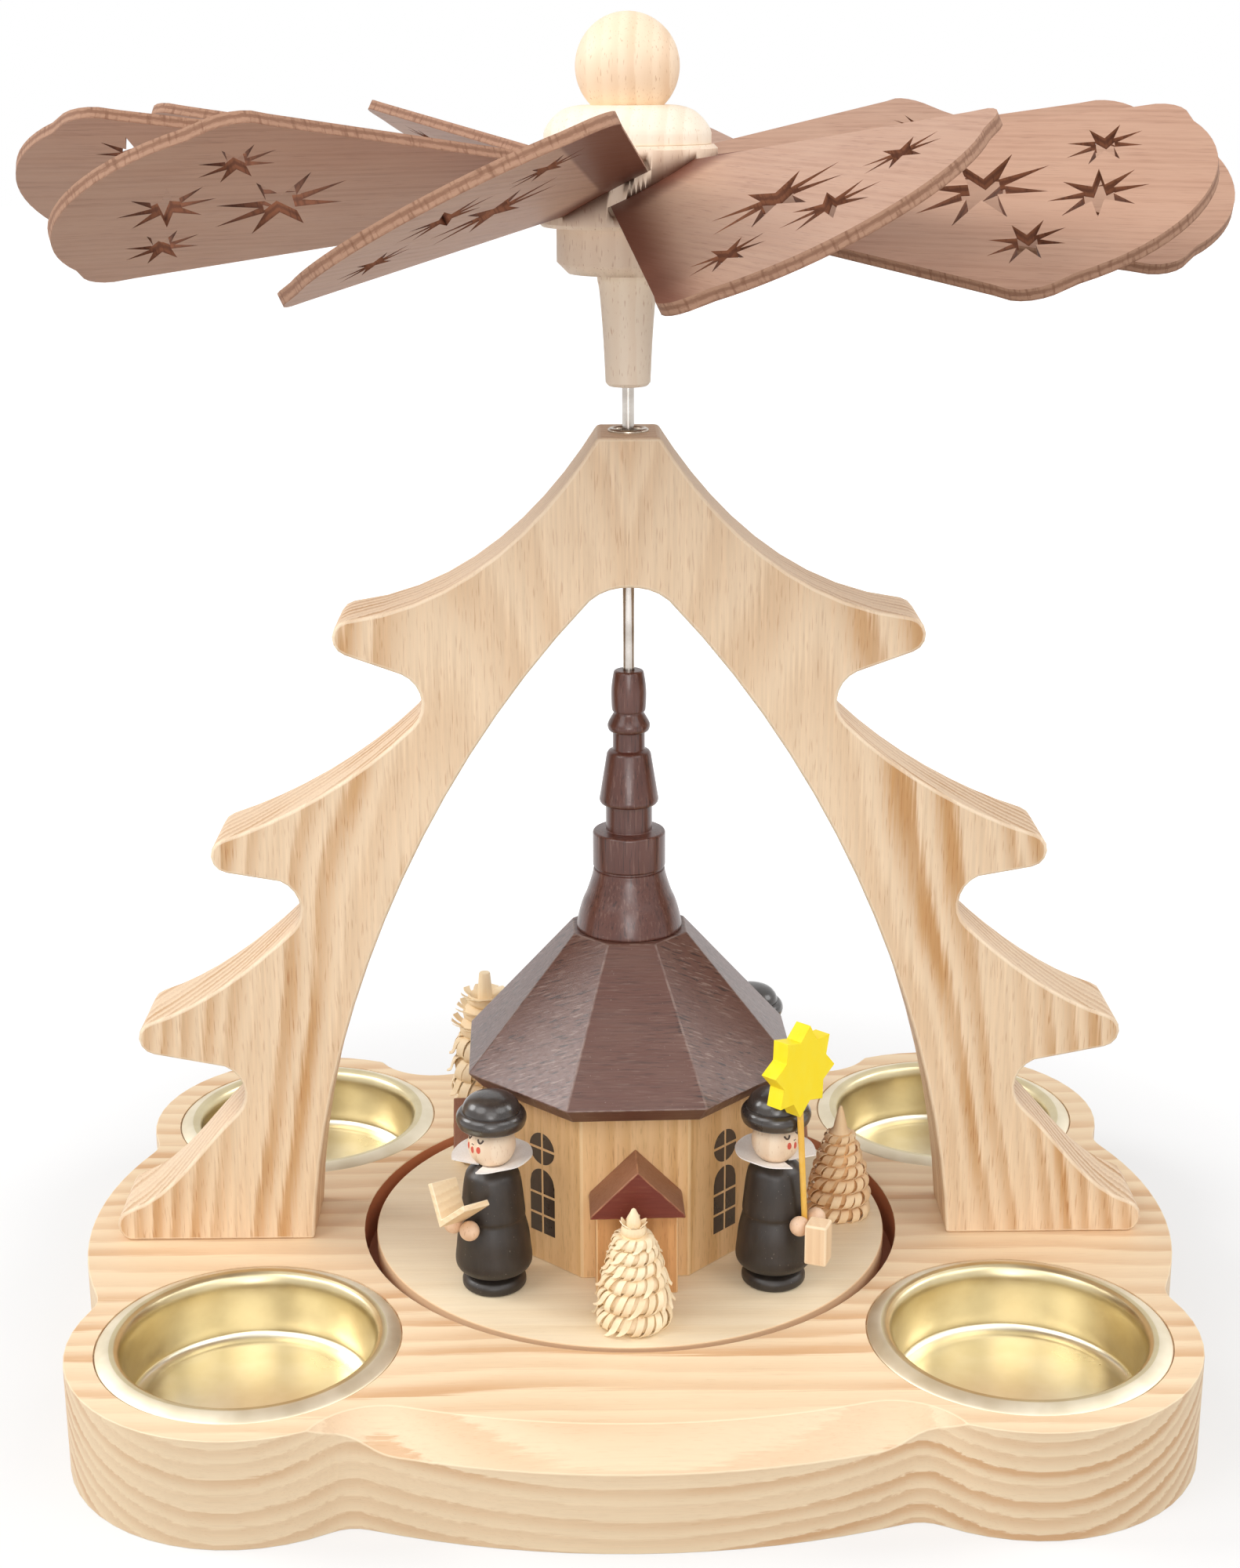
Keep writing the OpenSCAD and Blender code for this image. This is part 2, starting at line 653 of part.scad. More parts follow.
// eight-pointed star on its pole, its face turned outwards
module star_on_pole(play) {
  translate([pole_f - star_t / 2 - play, 0, star_z]) rotate([0, 90, 0]) rotate([0, 0, -star_turn])
    linear_extrude(height = star_t + 2 * play)
      polygon(star_pts(star_r + 2 * play, star_r * 0.72 + 2 * play, 8));
}
module bearer_pole() {
  color([0.92, 0.66, 0.16]) stand_at(bearer_a) leaning() difference() {
    translate([pole_f, 0, hand_z - 0.3]) cylinder(h = star_z - hand_z, r = pole_r);
    star_on_pole(glue_gap);
  }
}
module bearer_star() {
  color([0.98, 0.82, 0.14]) stand_at(bearer_a) leaning() star_on_pole(0);
}

module chorister_body() { stand_at(chorister_a) singer_body(); }
module chorister_head() { stand_at(chorister_a) singer_head(); }
module chorister_hat() { stand_at(chorister_a) singer_hat(); }
module chorister_collar() { stand_at(chorister_a) singer_collar(); }
module chorister_hands() { stand_at(chorister_a) singer_hands(hand_f, hand_r + 0.3); }
module chorister_book() { stand_at(chorister_a) song_book(); }

// tree shaved from one stick: rings of upturned petals on a tapering core
function ring_at(f, e) = tree_r * (1 - 0.58 * pow(f, e));
function tier_pts(z, d, r) = [
  [0.5 * r, z], [0.86 * r, z + 0.1 * d], [r, z + 0.42 * d], [0.97 * r, z + 0.85 * d],
  [0.86 * r, z + 1.02 * d], [0.78 * r, z + 1.02 * d], [0.74 * r, z + 0.8 * d]
];
module curl_tree(h, tiers, e) {
  d = h * 0.86 / tiers;
  color([0.93, 0.84, 0.68]) difference() {
    rotate_extrude($fn = 48) polygon(concat(
      [[0, 0]],
      [for (i = [0:tiers - 1]) each tier_pts(i * d, d * 0.96, ring_at(i / tiers, e))],
      [[0.22 * tree_r, h * 0.86], [0.13 * tree_r, h], [0, h]]
    ));
    for (i = [0:tiers - 1])
      for (k = [0:curl_n - 1])
        rotate([0, 0, 360 * (k + 0.5 * (i % 2)) / curl_n])
          translate([0.62 * ring_at(i / tiers, e), -curl_t / 2, i * d - 0.02 * d])
            cube([tree_r, curl_t, d * 0.98]);
  }
}

module tree_front() { rotate([0, 0, -90]) translate([tree_orbit, 0, deck]) curl_tree(tree_h, 6, 2); }
module tree_right() { rotate([0, 0, 3]) translate([tree_orbit + 1, 0, deck]) curl_tree(tree_h, 6, 2); }
module tree_back() { rotate([0, 0, 136]) translate([tree_orbit, 0, deck]) curl_tree(tall_tree_h, 8, 4.2); }

// frame of one blade: local X outwards, blade flat in local XY, pitched about X
module blade_frame(k) {
  translate([0, 0, wing_line]) rotate([0, 0, k * blade_step]) rotate([wing_pitch, 0, 0]) children();
}

root_half = 7.9 + side_slope * (hub_r - 14);

module wing_hub() {
  color([0.92, 0.82, 0.66]) difference() {
    rotate_extrude($fn = 96) polygon([
      [0, collar_z0], [hub_collar_r - 1.8, collar_z0], [hub_collar_r, collar_z0 + 1.8],
      [hub_collar_r, hub_z0], [hub_r - 0.6, hub_z0], [hub_r, hub_z0 + 0.6],
      [hub_r, hub_z1 - 0.6], [hub_r - 0.6, hub_z1], [0, hub_z1]
    ]);
    translate([0, 0, collar_z0 - 1]) cylinder(h = 60, r = bore_r, $fn = 48);
    for (k = [0:blade_count - 1]) blade_frame(k)
      translate([root_u - glue_gap, -root_half - glue_gap, -blade_t / 2 - glue_gap])
        cube([hub_r, 2 * root_half + 2 * glue_gap, blade_t + 2 * glue_gap]);
  }
}

module hub_post() {
  color([0.91, 0.80, 0.63]) rotate_extrude($fn = 64) polygon([
    [bore_r, post_z0], [post_foot_r - 0.3, post_z0], [post_foot_r, post_z0 + 0.4],
    [post_head_r - 0.4, collar_z0 - 3.2], [post_head_r, collar_z0], [bore_r, collar_z0]
  ]);
}

module hub_cap() {
  k = cap_h / 6.6;
  color([0.92, 0.83, 0.68]) translate([0, 0, hub_z1]) rotate_extrude($fn = 96) polygon([
    [0, 0], [cap_r, 0], [cap_r, 1.9 * k], [cap_r - 0.5, 2.9 * k], [cap_r - 1.6, 4.6 * k],
    [cap_r - 3.2, 5.9 * k], [cap_r - 5.4, 6.6 * k], [0, 6.6 * k]
  ]);
}

module finial_ball() {
  color([0.91, 0.81, 0.64]) difference() {
    translate([0, 0, hub_z1 + cap_h + ball_r - 2.4]) sphere(r = ball_r);
    translate([-20, -20, hub_z1 + cap_h - 20]) cube([40, 40, 20]);
  }
}

// petal outline with a small step beside the rounded outer edge, and four star holes
function blade_half_pts() =
  let (ec = wing_r - end_r, a1 = asin((blade_half - 5.1) / end_r), cl = [widest_u, blade_half - 6.5])
    concat(
      [[root_u, root_half - side_slope * (hub_r - root_u)], [widest_u - 4, blade_half - 4 * side_slope]],
      arc_pts(cl, 6.5, 98, 30, 5),
      arc_pts([ec, 0], end_r, a1, 0, 10)
    );

module blade(k) {
  half = blade_half_pts();
  n = len(half);
  color([0.48, 0.31, 0.22]) blade_frame(k)
    translate([0, 0, -blade_t / 2]) linear_extrude(height = blade_t) difference() {
    polygon(concat(half, [for (i = [n - 2:-1:0]) [half[i][0], -half[i][1]]]));
    translate([wing_r - 33.8, 0]) polygon(star_pts(10.4, 3.2, 8));
    translate([wing_r - 15.7, 0]) rotate(22.5) polygon(star_pts(7.2, 2.3, 8));
    for (s = [-1, 1]) translate([wing_r - 20.6, s * (blade_half - 12.3)]) polygon(star_pts(5.9, 1.9, 8));
  }
}

module blade_0() { blade(0); }
module blade_1() { blade(1); }
module blade_2() { blade(2); }
module blade_3() { blade(3); }
module blade_4() { blade(4); }
module blade_5() { blade(5); }
module blade_6() { blade(6); }
module blade_7() { blade(7); }
module blade_8() { blade(8); }
module blade_9() { blade(9); }

base_plate();
tree_arch();
arch_dowels();
guide_bush();
bearing_cup();
cup_front_left();
cup_front_right();
cup_back_left();
cup_back_right();
spindle_rod();
turntable();
church_body();
church_roof();
church_spire();
porch_front();
porch_left();
porch_right();
porch_back();
gable_front();
gable_left();
gable_right();
gable_back();
reader_body();
reader_head();
reader_hat();
reader_collar();
reader_hands();
reader_book();
bearer_body();
bearer_head();
bearer_hat();
bearer_collar();
bearer_hands();
bearer_lantern();
bearer_pole();
bearer_star();
chorister_body();
chorister_head();
chorister_hat();
chorister_collar();
chorister_hands();
chorister_book();
tree_front();
tree_right();
tree_back();
wing_hub();
hub_post();
hub_cap();
finial_ball();
blade_0();
blade_1();
blade_2();
blade_3();
blade_4();
blade_5();
blade_6();
blade_7();
blade_8();
blade_9();
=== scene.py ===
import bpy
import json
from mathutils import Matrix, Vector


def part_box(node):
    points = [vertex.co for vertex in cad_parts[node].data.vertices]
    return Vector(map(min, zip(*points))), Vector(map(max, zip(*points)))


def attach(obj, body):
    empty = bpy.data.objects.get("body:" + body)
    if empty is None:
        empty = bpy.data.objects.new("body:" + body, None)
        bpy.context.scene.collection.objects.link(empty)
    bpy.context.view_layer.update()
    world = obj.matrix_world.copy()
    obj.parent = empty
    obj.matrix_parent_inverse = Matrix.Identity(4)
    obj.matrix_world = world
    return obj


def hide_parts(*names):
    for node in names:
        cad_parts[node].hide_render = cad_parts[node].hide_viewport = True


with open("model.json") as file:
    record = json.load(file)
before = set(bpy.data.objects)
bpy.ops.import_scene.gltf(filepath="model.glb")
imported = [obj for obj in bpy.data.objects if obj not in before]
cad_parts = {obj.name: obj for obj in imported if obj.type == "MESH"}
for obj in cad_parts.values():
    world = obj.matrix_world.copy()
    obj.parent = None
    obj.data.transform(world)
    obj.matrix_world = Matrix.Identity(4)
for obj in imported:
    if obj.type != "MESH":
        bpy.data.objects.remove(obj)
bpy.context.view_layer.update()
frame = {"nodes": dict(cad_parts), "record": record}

import json
import math
import random

import bmesh
import bpy
from mathutils import Matrix, Vector

MM = 0.001
AXIS_X = Vector((1, 0, 0))
AXIS_Y = Vector((0, 1, 0))
AXIS_Z = Vector((0, 0, 1))
WHITE = (1.0, 1.0, 1.0, 1.0)

# Each CAD node's body
BODY = {node: body for body, nodes in frame["record"]["behaviour"]["bodies"].items() for node in nodes}

# Levels taken from the frame, in metres
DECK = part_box("turntable")[1].z
BASE_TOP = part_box("base_plate")[1].z
WING_LINE = (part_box("blade_0")[0].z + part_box("blade_0")[1].z) / 2

# Sizes in mm and angles in degrees, as in the part's source
CUPS = ("cup_front_left", "cup_front_right", "cup_back_left", "cup_back_right")
ROD_R, ROD_BORE = 1.0, 1.03
DISC_R = 46.0
CHURCH_TURN, WALL_REACH = 1.5, 22.5
SINGERS = {"reader": -135.0, "bearer": -43.5, "chorister": 46.0}
SINGER_ORBIT = 33.7
NECK = 22.9
HEAD_LEVEL, HEAD_R = 26.5, 4.1
BRIM_LEVEL = 29.7
HAND_REACH, HAND_LEVEL, HAND_R = 7.29, 13.4, 1.7
HAND_SPREAD = {"reader": 2.0, "bearer": 2.197, "chorister": 2.0}
POLE_REACH, POLE_LEAN, POLE_LENGTH = 6.61, 5.0, 23.0
BLADES, BLADE_PITCH, BLADE_THICK = 10, 27.0, 1.2
# The way each singer's face looks
FACES = {"reader": -141.0, "bearer": -40.0, "chorister": 46.0}


def middle(node):
    """Middle of a CAD node's box, in metres."""
    lowest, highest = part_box(node)
    return (lowest + highest) / 2


def levels(node):
    """Lowest and highest level of a CAD node, in mm."""
    return [corner.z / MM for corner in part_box(node)]


def tone(colour):
    """The linear colour that sockets take, from a screen colour of three values up to 255.

    A colour of four values is linear already.
    """
    if len(colour) == 4:
        return colour
    shares = [value / 255 for value in colour]
    return (*[s / 12.92 if s < 0.04045 else ((s + 0.055) / 1.055) ** 2.4 for s in shares], 1.0)


# Materials

class Nodes:
    """A tree of shader nodes under construction. An input is another node's socket or a plain value."""

    def __init__(self, tree):
        self.tree = tree

    def put(self, socket, given):
        if isinstance(given, bpy.types.NodeSocket):
            self.tree.links.new(given, socket)
        else:
            socket.default_value = tone(given) if socket.type == "RGBA" else given

    def add(self, kind, inputs, **settings):
        node = self.tree.nodes.new("ShaderNode" + kind)
        for key, setting in settings.items():
            setattr(node, key, setting)
        for key, given in inputs.items():
            self.put(node.inputs[key], given)
        return node

    def math(self, operation, *inputs):
        return self.add("Math", dict(enumerate(inputs)), operation=operation).outputs[0]

    def seen_straight(self):
        """1 for rays that show the backdrop itself: from the camera, a reflection or through glass."""
        path = self.add("LightPath", {}).outputs
        total = path["Is Camera Ray"]
        for name in ("Is Glossy Ray", "Is Transmission Ray"):
            total = self.math("MAXIMUM", total, path[name])
        return total


class Coat(Nodes):
    """A procedural material. The sockets given are the surface's own constant values."""

    def __init__(self, name, **sockets):
        self.material = bpy.data.materials.new(name)
        self.material.use_nodes = True
        super().__init__(self.material.node_tree)
        self.surface = self.tree.nodes["Principled BSDF"]
        for key, given in sockets.items():
            self.surface.inputs[key.replace("_", " ")].default_value = given
        coordinates = self.add("TexCoord", {}).outputs["Object"]
        scaled = self.add("VectorMath", {0: coordinates, "Scale": 1 / MM}, operation="SCALE")
        self.place = scaled.outputs[0]

    def times(self, first, second):
        return self.math("MULTIPLY", first, second)

    def times_plus(self, first, second, added):
        return self.math("MULTIPLY_ADD", first, second, added)

    def along(self, direction):
        """How far a surface point lies along a direction, in mm."""
        inputs = {0: self.place, 1: tuple(direction)}
        return self.add("VectorMath", inputs, operation="DOT_PRODUCT").outputs["Value"]

    def axes(self, along, across):
        """Coordinates along the grain, across it and to its side, in mm."""
        side = Vector(along).cross(Vector(across))
        return tuple(self.along(direction) for direction in (along, across, side))

    def noise(self, axes, sizes, detail=2.0, rough=0.5):
        """Noise whose grains measure the given sizes, in mm, along three coordinates."""
        scaled = [self.math("DIVIDE", axis, size) for axis, size in zip(axes, sizes)]
        point = self.add("CombineXYZ", dict(enumerate(scaled))).outputs[0]
        inputs = {"Vector": point, "Scale": 1.0, "Detail": detail, "Roughness": rough}
        return self.add("TexNoise", inputs).outputs["Fac"]

    def ramp(self, share, start, end):
        """A colour ramp between two stops, each a position and a colour."""
        node = self.add("ValToRGB", {"Fac": share})
        for element, (position, colour) in zip(node.color_ramp.elements, (start, end)):
            element.position = position
            element.color = tone(colour)
        return node.outputs["Color"]

    def step(self, value, start, end, low=0.0, high=1.0):
        """A smooth step from low at start to high at end."""
        inputs = {"Value": value, "From Min": start, "From Max": end, "To Min": low, "To Max": high}
        return self.add("MapRange", inputs, interpolation_type="SMOOTHSTEP").outputs["Result"]

    def mix(self, share, first, second, blend="MIX"):
        node = self.add("Mix", {}, data_type="RGBA", blend_type=blend)
        for index, given in ((0, share), (6, first), (7, second)):
            self.put(node.inputs[index], given)
        return node.outputs[2]

    def tint(self, colour, other, value, start, end, low=0.0, high=1.0):
        """Mixes in another colour by a smooth step of a value."""
        return self.mix(self.step(value, start, end, low, high), colour, other)

    def attribute(self, name):
        return self.add("Attribute", {}, attribute_name=name).outputs["Fac"]

    def finish(self, colour, gloss, height, strength, depth):
        """Joins colour, roughness and a bump of the given depth in mm to the surface.

        gloss is a value that the roughness follows, its middle roughness and its span.
        """
        value, rough, span = gloss
        self.put(self.surface.inputs["Base Color"], colour)
        self.put(self.surface.inputs["Roughness"], self.times_plus(value, span, rough - span / 2))
        inputs = {"Height": height, "Strength": strength, "Distance": depth * MM}
        self.put(self.surface.inputs["Normal"], self.add("Bump", inputs).outputs["Normal"])
        return self.material


def growth(coat, axes, ring, rise, fall, weights, wander, pith=0.0, jag=0.35, drift=80.0, fold=0.0,
           taper=0.0):
    """Growth rings: how dark they make the wood, and its fibres.

    A ring of the width ring, in mm, darkens over the shares in rise and ends from fall on.
    weights holds the faintest and the strongest ring. pith is how far off the tree's heart lies,
    fold sets two hearts that far to either side, and taper lets the rings run out along the grain
    in pointed arches.
    """
    u, v, w = axes
    slow = coat.noise(axes, (drift, drift / 2.4, drift / 2.4), 1.0)
    fibre = coat.noise(axes, (16.0, 0.5, 0.5), 3.0, 0.6)
    reach = v
    if fold:
        w = coat.math("SUBTRACT", coat.math("ABSOLUTE", w), fold)
    if pith:
        from_pith = coat.math("ADD", v, pith)
        squares = coat.times_plus(from_pith, from_pith, coat.times(w, w))
        reach = coat.math("SUBTRACT", coat.math("SQRT", squares), pith)
    if taper:
        reach = coat.times_plus(u, taper, reach)
    reach = coat.times_plus(slow, 2 * wander, reach)
    reach = coat.times_plus(fibre, jag * ring, reach)
    turn = coat.math("DIVIDE", reach, ring)
    whole, share = coat.math("FLOOR", turn), coat.math("FRACT", turn)
    each = coat.add("TexWhiteNoise", {"W": whole}, noise_dimensions="1D").outputs["Value"]
    shade = coat.times(coat.step(share, *rise), coat.step(share, fall, 1.0, 1.0, 0.0))
    return coat.times(shade, coat.step(each, 0.0, 1.0, *weights)), fibre


def wood(name, along, across, pale, dark, ring, grain, pores, pore, pore_tone, late=0.75, even=0.3, rough=0.5,
         relief=0.03, burnt=None, edge=None, calm=0.0, hair=0.92, **sockets):
    """Solid wood with rings, fibres and pores.

    late is where in a ring it is darkest, even how alike the rings are, edge the tone and share
    on softened edges, burnt the tone of turned walls, calm how far from the middle plane, in mm,
    the rings reach their full strength, and hair the shade of the darkest fibres.
    """
    coat = Coat(name, **sockets)
    axes = coat.axes(along, across)
    weight, fibre = growth(coat, axes, ring, (0.05, late), min(late + 0.06, 0.96), (even, 1.0), **grain)
    patch = coat.noise(axes, (55.0, 17.0, 17.0), 2.0)
    weight = coat.times(weight, coat.step(patch, 0.3, 0.7, 0.45, 1.2))
    if calm:
        weight = coat.times(weight, coat.step(coat.math("ABSOLUTE", axes[2]), 0.3 * calm, calm, 0.3, 1.0))
    colour = coat.mix(weight, pale, dark)
    long, thin = pore
    pits = coat.step(coat.noise(axes, (long, thin, thin), 1.5), 0.58, 0.7)
    held = coat.times(pits, coat.times_plus(weight, 0.6, 0.4))
    colour = coat.mix(coat.times(held, pores), colour, pore_tone)
    shade = coat.ramp(fibre, (0.25, (hair, hair - 0.02, hair - 0.04, 1.0)), (0.75, WHITE))
    colour = coat.mix(1.0, colour, shade, "MULTIPLY")
    if edge:
        colour = coat.mix(coat.times(coat.attribute("edge"), edge[1]), colour, edge[0])
    if burnt:
        colour = coat.mix(coat.attribute("burnt"), colour, burnt)
    height = coat.math("SUBTRACT", coat.times(fibre, 0.6), pits)
    return coat.finish(colour, (fibre, rough, 0.16), height, 0.35, relief)


def beech(name, pale, dark, fleck, rough=0.5):
    """Close-grained turned wood with faint bands and short upright flecks."""
    coat = Coat(name)
    axes = coat.axes(AXIS_Z, AXIS_X)
    weight, fibre = growth(coat, axes, 2.6, (0.1, 0.75), 0.85, (0.3, 0.9), 0.5, pith=60.0, drift=50.0)
    colour = coat.mix(weight, pale, dark)
    flecks = coat.times(coat.step(coat.noise(axes, (1.5, 0.22, 0.3), 0.5), 0.66, 0.76), 0.6)
    colour = coat.mix(flecks, colour, fleck)
    height = coat.math("SUBTRACT", coat.times(fibre, 0.7), flecks)
    return coat.finish(colour, (fibre, rough, 0.14), height, 0.3, 0.03)


def stain(name, along, across, body, light, dark, worn, scratch, scratched, rough, edge=0.0, relief=0.03,
          plain_front=False, **sockets):
    """Dark stained wood: a pale bloom, scratchy dashes along the grain, specks and worn edges.

    scratch is the size of the dashes in mm and scratched their strength. plain_front keeps most
    of them off the facets that look along Y.
    """
    coat = Coat(name, **sockets)
    axes = coat.axes(along, across)
    bloom = coat.noise(axes, (12.0, 7.0, 7.0), 3.0)
    colour = coat.tint(body, light, bloom, 0.35, 0.7)
    fibre = coat.noise(axes, (9.0, 0.55, 0.55), 3.0, 0.6)
    colour = coat.tint(colour, dark, fibre, 0.5, 0.75, 0.0, 0.4)
    dash = coat.noise(axes, scratch, 2.0, 0.55)
    patch = coat.step(coat.noise(axes, (14.0, 9.0, 9.0), 2.0), 0.38, 0.58, 0.3, 1.0)
    if plain_front:
        to_side, to_front = (coat.math("ABSOLUTE", coat.along(axis)) for axis in (AXIS_X, AXIS_Y))
        past_facet = coat.times_plus(to_front, -0.41, to_side)
        patch = coat.times(patch, coat.step(past_facet, -0.5, 0.5, 0.35, 1.0))
    pale_dash = coat.times(coat.step(dash, 0.57, 0.68), patch)
    deep_dash = coat.times(coat.step(dash, 0.43, 0.33), patch)
    colour = coat.mix(coat.times(pale_dash, 0.3 * scratched), colour, worn)
    colour = coat.mix(coat.times(deep_dash, 0.9 * scratched), colour, dark)
    speck = coat.noise(axes, (0.4, 0.3, 0.3), 1.0)
    colour = coat.tint(colour, worn, speck, 0.74, 0.79, 0.0, 0.5)
    if edge:
        chip = coat.step(coat.noise(axes, (1.6, 1.6, 1.6), 3.0), 0.35, 0.62, 0.2 * edge, edge)
        colour = coat.mix(coat.times(coat.attribute("edge"), chip), colour, worn)
    return coat.finish(colour, (fibre, rough, 0.2), coat.times_plus(dash, 0.8, fibre), 0.5, relief)


def paint(name, colour, rub, rough, relief=0.03, grain=9.0, dust=0.0, **sockets):
    """Brushed paint over turned wood: faint grain, small rubs, dust and an uneven gloss."""
    coat = Coat(name, **sockets)
    axes = coat.axes(AXIS_Z, AXIS_X)
    fibre = coat.noise(axes, (grain, 0.45, 0.45), 3.0, 0.6)
    cloud = coat.noise(axes, (3.0, 2.0, 2.0), 3.0)
    shade = coat.tint(colour, rub, cloud, 0.3, 0.75, 0.0, 0.45)
    shade = coat.tint(shade, rub, fibre, 0.55, 0.75, 0.0, 0.35)
    if dust:
        speck = coat.noise(axes, (0.5, 0.35, 0.35), 1.0)
        shade = coat.tint(shade, (158, 146, 136), speck, 0.73, 0.78, 0.0, dust)
    return coat.finish(shade, (cloud, rough, 0.22), fibre, 0.4, relief)


def metal(name, bright, deep, rough, turned_at=(0.0, 0.0), relief=0.01):
    """Spun sheet metal: fine turning lines around an upright axis and a cloudy polish."""
    coat = Coat(name, Metallic=1.0)
    away = coat.math("SUBTRACT", coat.along(AXIS_X), turned_at[0])
    aside = coat.math("SUBTRACT", coat.along(AXIS_Y), turned_at[1])
    up = coat.along(AXIS_Z)
    radius = coat.math("SQRT", coat.times_plus(away, away, coat.times(aside, aside)))
    lines = coat.noise((radius, up, 0.0), (0.25, 0.3, 1.0), 2.0)
    cloud = coat.noise((away, aside, up), (7.0, 7.0, 5.0), 3.0)
    colour = coat.tint(deep, bright, cloud, 0.3, 0.7)
    return coat.finish(colour, (cloud, rough, 0.14), lines, 0.25, relief)


def veneer(name, shaded_side=0, band=(0.0, 0.0)):
    """Face of a blade: satin pinkish brown, fine grain along the blade and a scorched root.

    shaded_side names the long edge, 1 or -1, that has a band of painted shade from the neighbouring
    blade: full up to the first of band's two distances from the edge, and gone at the second.
    """
    coat = Coat(name, Specular_IOR_Level=0.4)
    axes = coat.axes(AXIS_X, AXIS_Y)
    weight, fibre = growth(coat, axes, 1.7, (0.1, 0.7), 0.75, (0.05, 0.5), 2.0, jag=0.8, drift=90.0)
    colour = coat.mix(weight, (186, 145, 121), (162, 119, 95))
    pits = coat.step(coat.noise(axes, (5.0, 0.24, 0.24), 2.0), 0.55, 0.72)
    colour = coat.mix(coat.times(pits, 0.4), colour, (128, 84, 62))
    cloud = coat.noise(axes, (22.0, 9.0, 9.0), 2.0)
    colour = coat.tint(colour, (196, 158, 134), cloud, 0.35, 0.7, 0.0, 0.35)
    # Dark brown of the scorched root, also used for the band of painted shade along one edge
    scorched = (116, 68, 51)
    ragged = coat.times_plus(fibre, 5.0, axes[0])
    colour = coat.tint(colour, scorched, ragged, 20.5, 29.0, 1.0, 0.0)
    # Painted shade: a dark band along one long edge, where the neighbouring blade shades this one
    if shaded_side:
        widening, half_at_axis = 0.2734, 4.072
        half_width = coat.times_plus(axes[0], widening, half_at_axis)
        from_edge = coat.times_plus(axes[1], -float(shaded_side), half_width)
        colour = coat.tint(colour, scorched, from_edge, *band, 0.9, 0.0)
    return coat.finish(colour, (fibre, 0.51, 0.18), coat.math("SUBTRACT", fibre, pits), 0.3, 0.03)


def plies(name, light, dark):
    """Sawn edge of a blade's thin plywood: faint plies, ragged and chipped along the cut."""
    coat = Coat(name, Specular_IOR_Level=0.25)
    axes = coat.axes(AXIS_X, AXIS_Y)
    ragged = coat.noise(axes, (1.2, 1.2, 0.25), 3.0, 0.65)
    level = coat.times_plus(ragged, 0.7, coat.math("DIVIDE", axes[2], BLADE_THICK))
    stripe = coat.math("PINGPONG", level, 0.5)
    colour = coat.tint(light, dark, stripe, 0.1, 0.42, 0.0, 0.7)
    streak = coat.noise(axes, (0.6, 0.6, 2.5), 2.0)
    colour = coat.tint(colour, dark, streak, 0.5, 0.72, 0.0, 0.7)
    return coat.finish(colour, (ragged, 0.7, 0.2), ragged, 0.6, 0.1)


def shaving(name, pale, dark):
    """Thin curled shavings: each ribbon has its own shade, with fibres running down the tree."""
    coat = Coat(name, Specular_IOR_Level=0.3)
    fibre = coat.noise(coat.axes(AXIS_Z, AXIS_X), (4.0, 0.3, 0.3), 3.0)
    weight = coat.times_plus(fibre, 0.5, coat.math("SUBTRACT", coat.attribute("shade"), 0.25))
    colour = coat.ramp(weight, (0.0, pale), (1.0, dark))
    return coat.finish(colour, (fibre, 0.6, 0.2), fibre, 0.4, 0.03)


def paper(name):
    """White card with faint fibres."""
    coat = Coat(name, Specular_IOR_Level=0.3)
    cloud = coat.noise(coat.axes(AXIS_X, AXIS_Y), (0.35, 0.35, 0.35), 3.0, 0.65)
    colour = coat.ramp(cloud, (0.3, (242, 237, 232)), (0.7, (251, 248, 245)))
    return coat.finish(colour, (cloud, 0.7, 0.2), cloud, 0.3, 0.02)


def board_woods():
    """Woods of the base, the arch and the turntable."""
    tilt = math.radians(29)
    rise = Vector((0.0, -math.sin(tilt), math.cos(tilt)))
    return dict(
        base=wood(
            "base_pine", AXIS_X, rise, (247, 223, 188), (221, 179, 136), 2.45,
            dict(wander=2.2, jag=0.5, drift=64.0), pores=0.25, pore=(3.5, 0.2), pore_tone=(212, 164, 116),
            late=0.78, even=0.35, burnt=(196, 128, 94), edge=((250, 229, 197), 0.5), Specular_IOR_Level=0.3),
        arch=wood(
            "arch_ash", AXIS_Z, AXIS_Y, (248, 221, 188), (208, 159, 106), 2.4,
            dict(pith=60.0, wander=2.6, jag=0.6, drift=62.0, fold=30.0, taper=0.08),
            pores=0.8, pore=(4.5, 0.24), pore_tone=(190, 132, 82), late=0.66, even=0.2, relief=0.04,
            edge=((250, 231, 204), 0.5), calm=42.0, hair=0.84, Specular_IOR_Level=0.3),
        table=wood(
            "table_linden", AXIS_X, AXIS_Y, (247, 230, 199), (242, 222, 188), 5.0, dict(wander=2.0),
            pores=0.15, pore=(2.0, 0.25), pore_tone=(214, 180, 134), late=0.7, rough=0.48, relief=0.02,
            burnt=(238, 204, 162), Specular_IOR_Level=0.35),
        dowel=beech("dowel_beech", (238, 208, 168), (220, 182, 138), (180, 130, 84)))


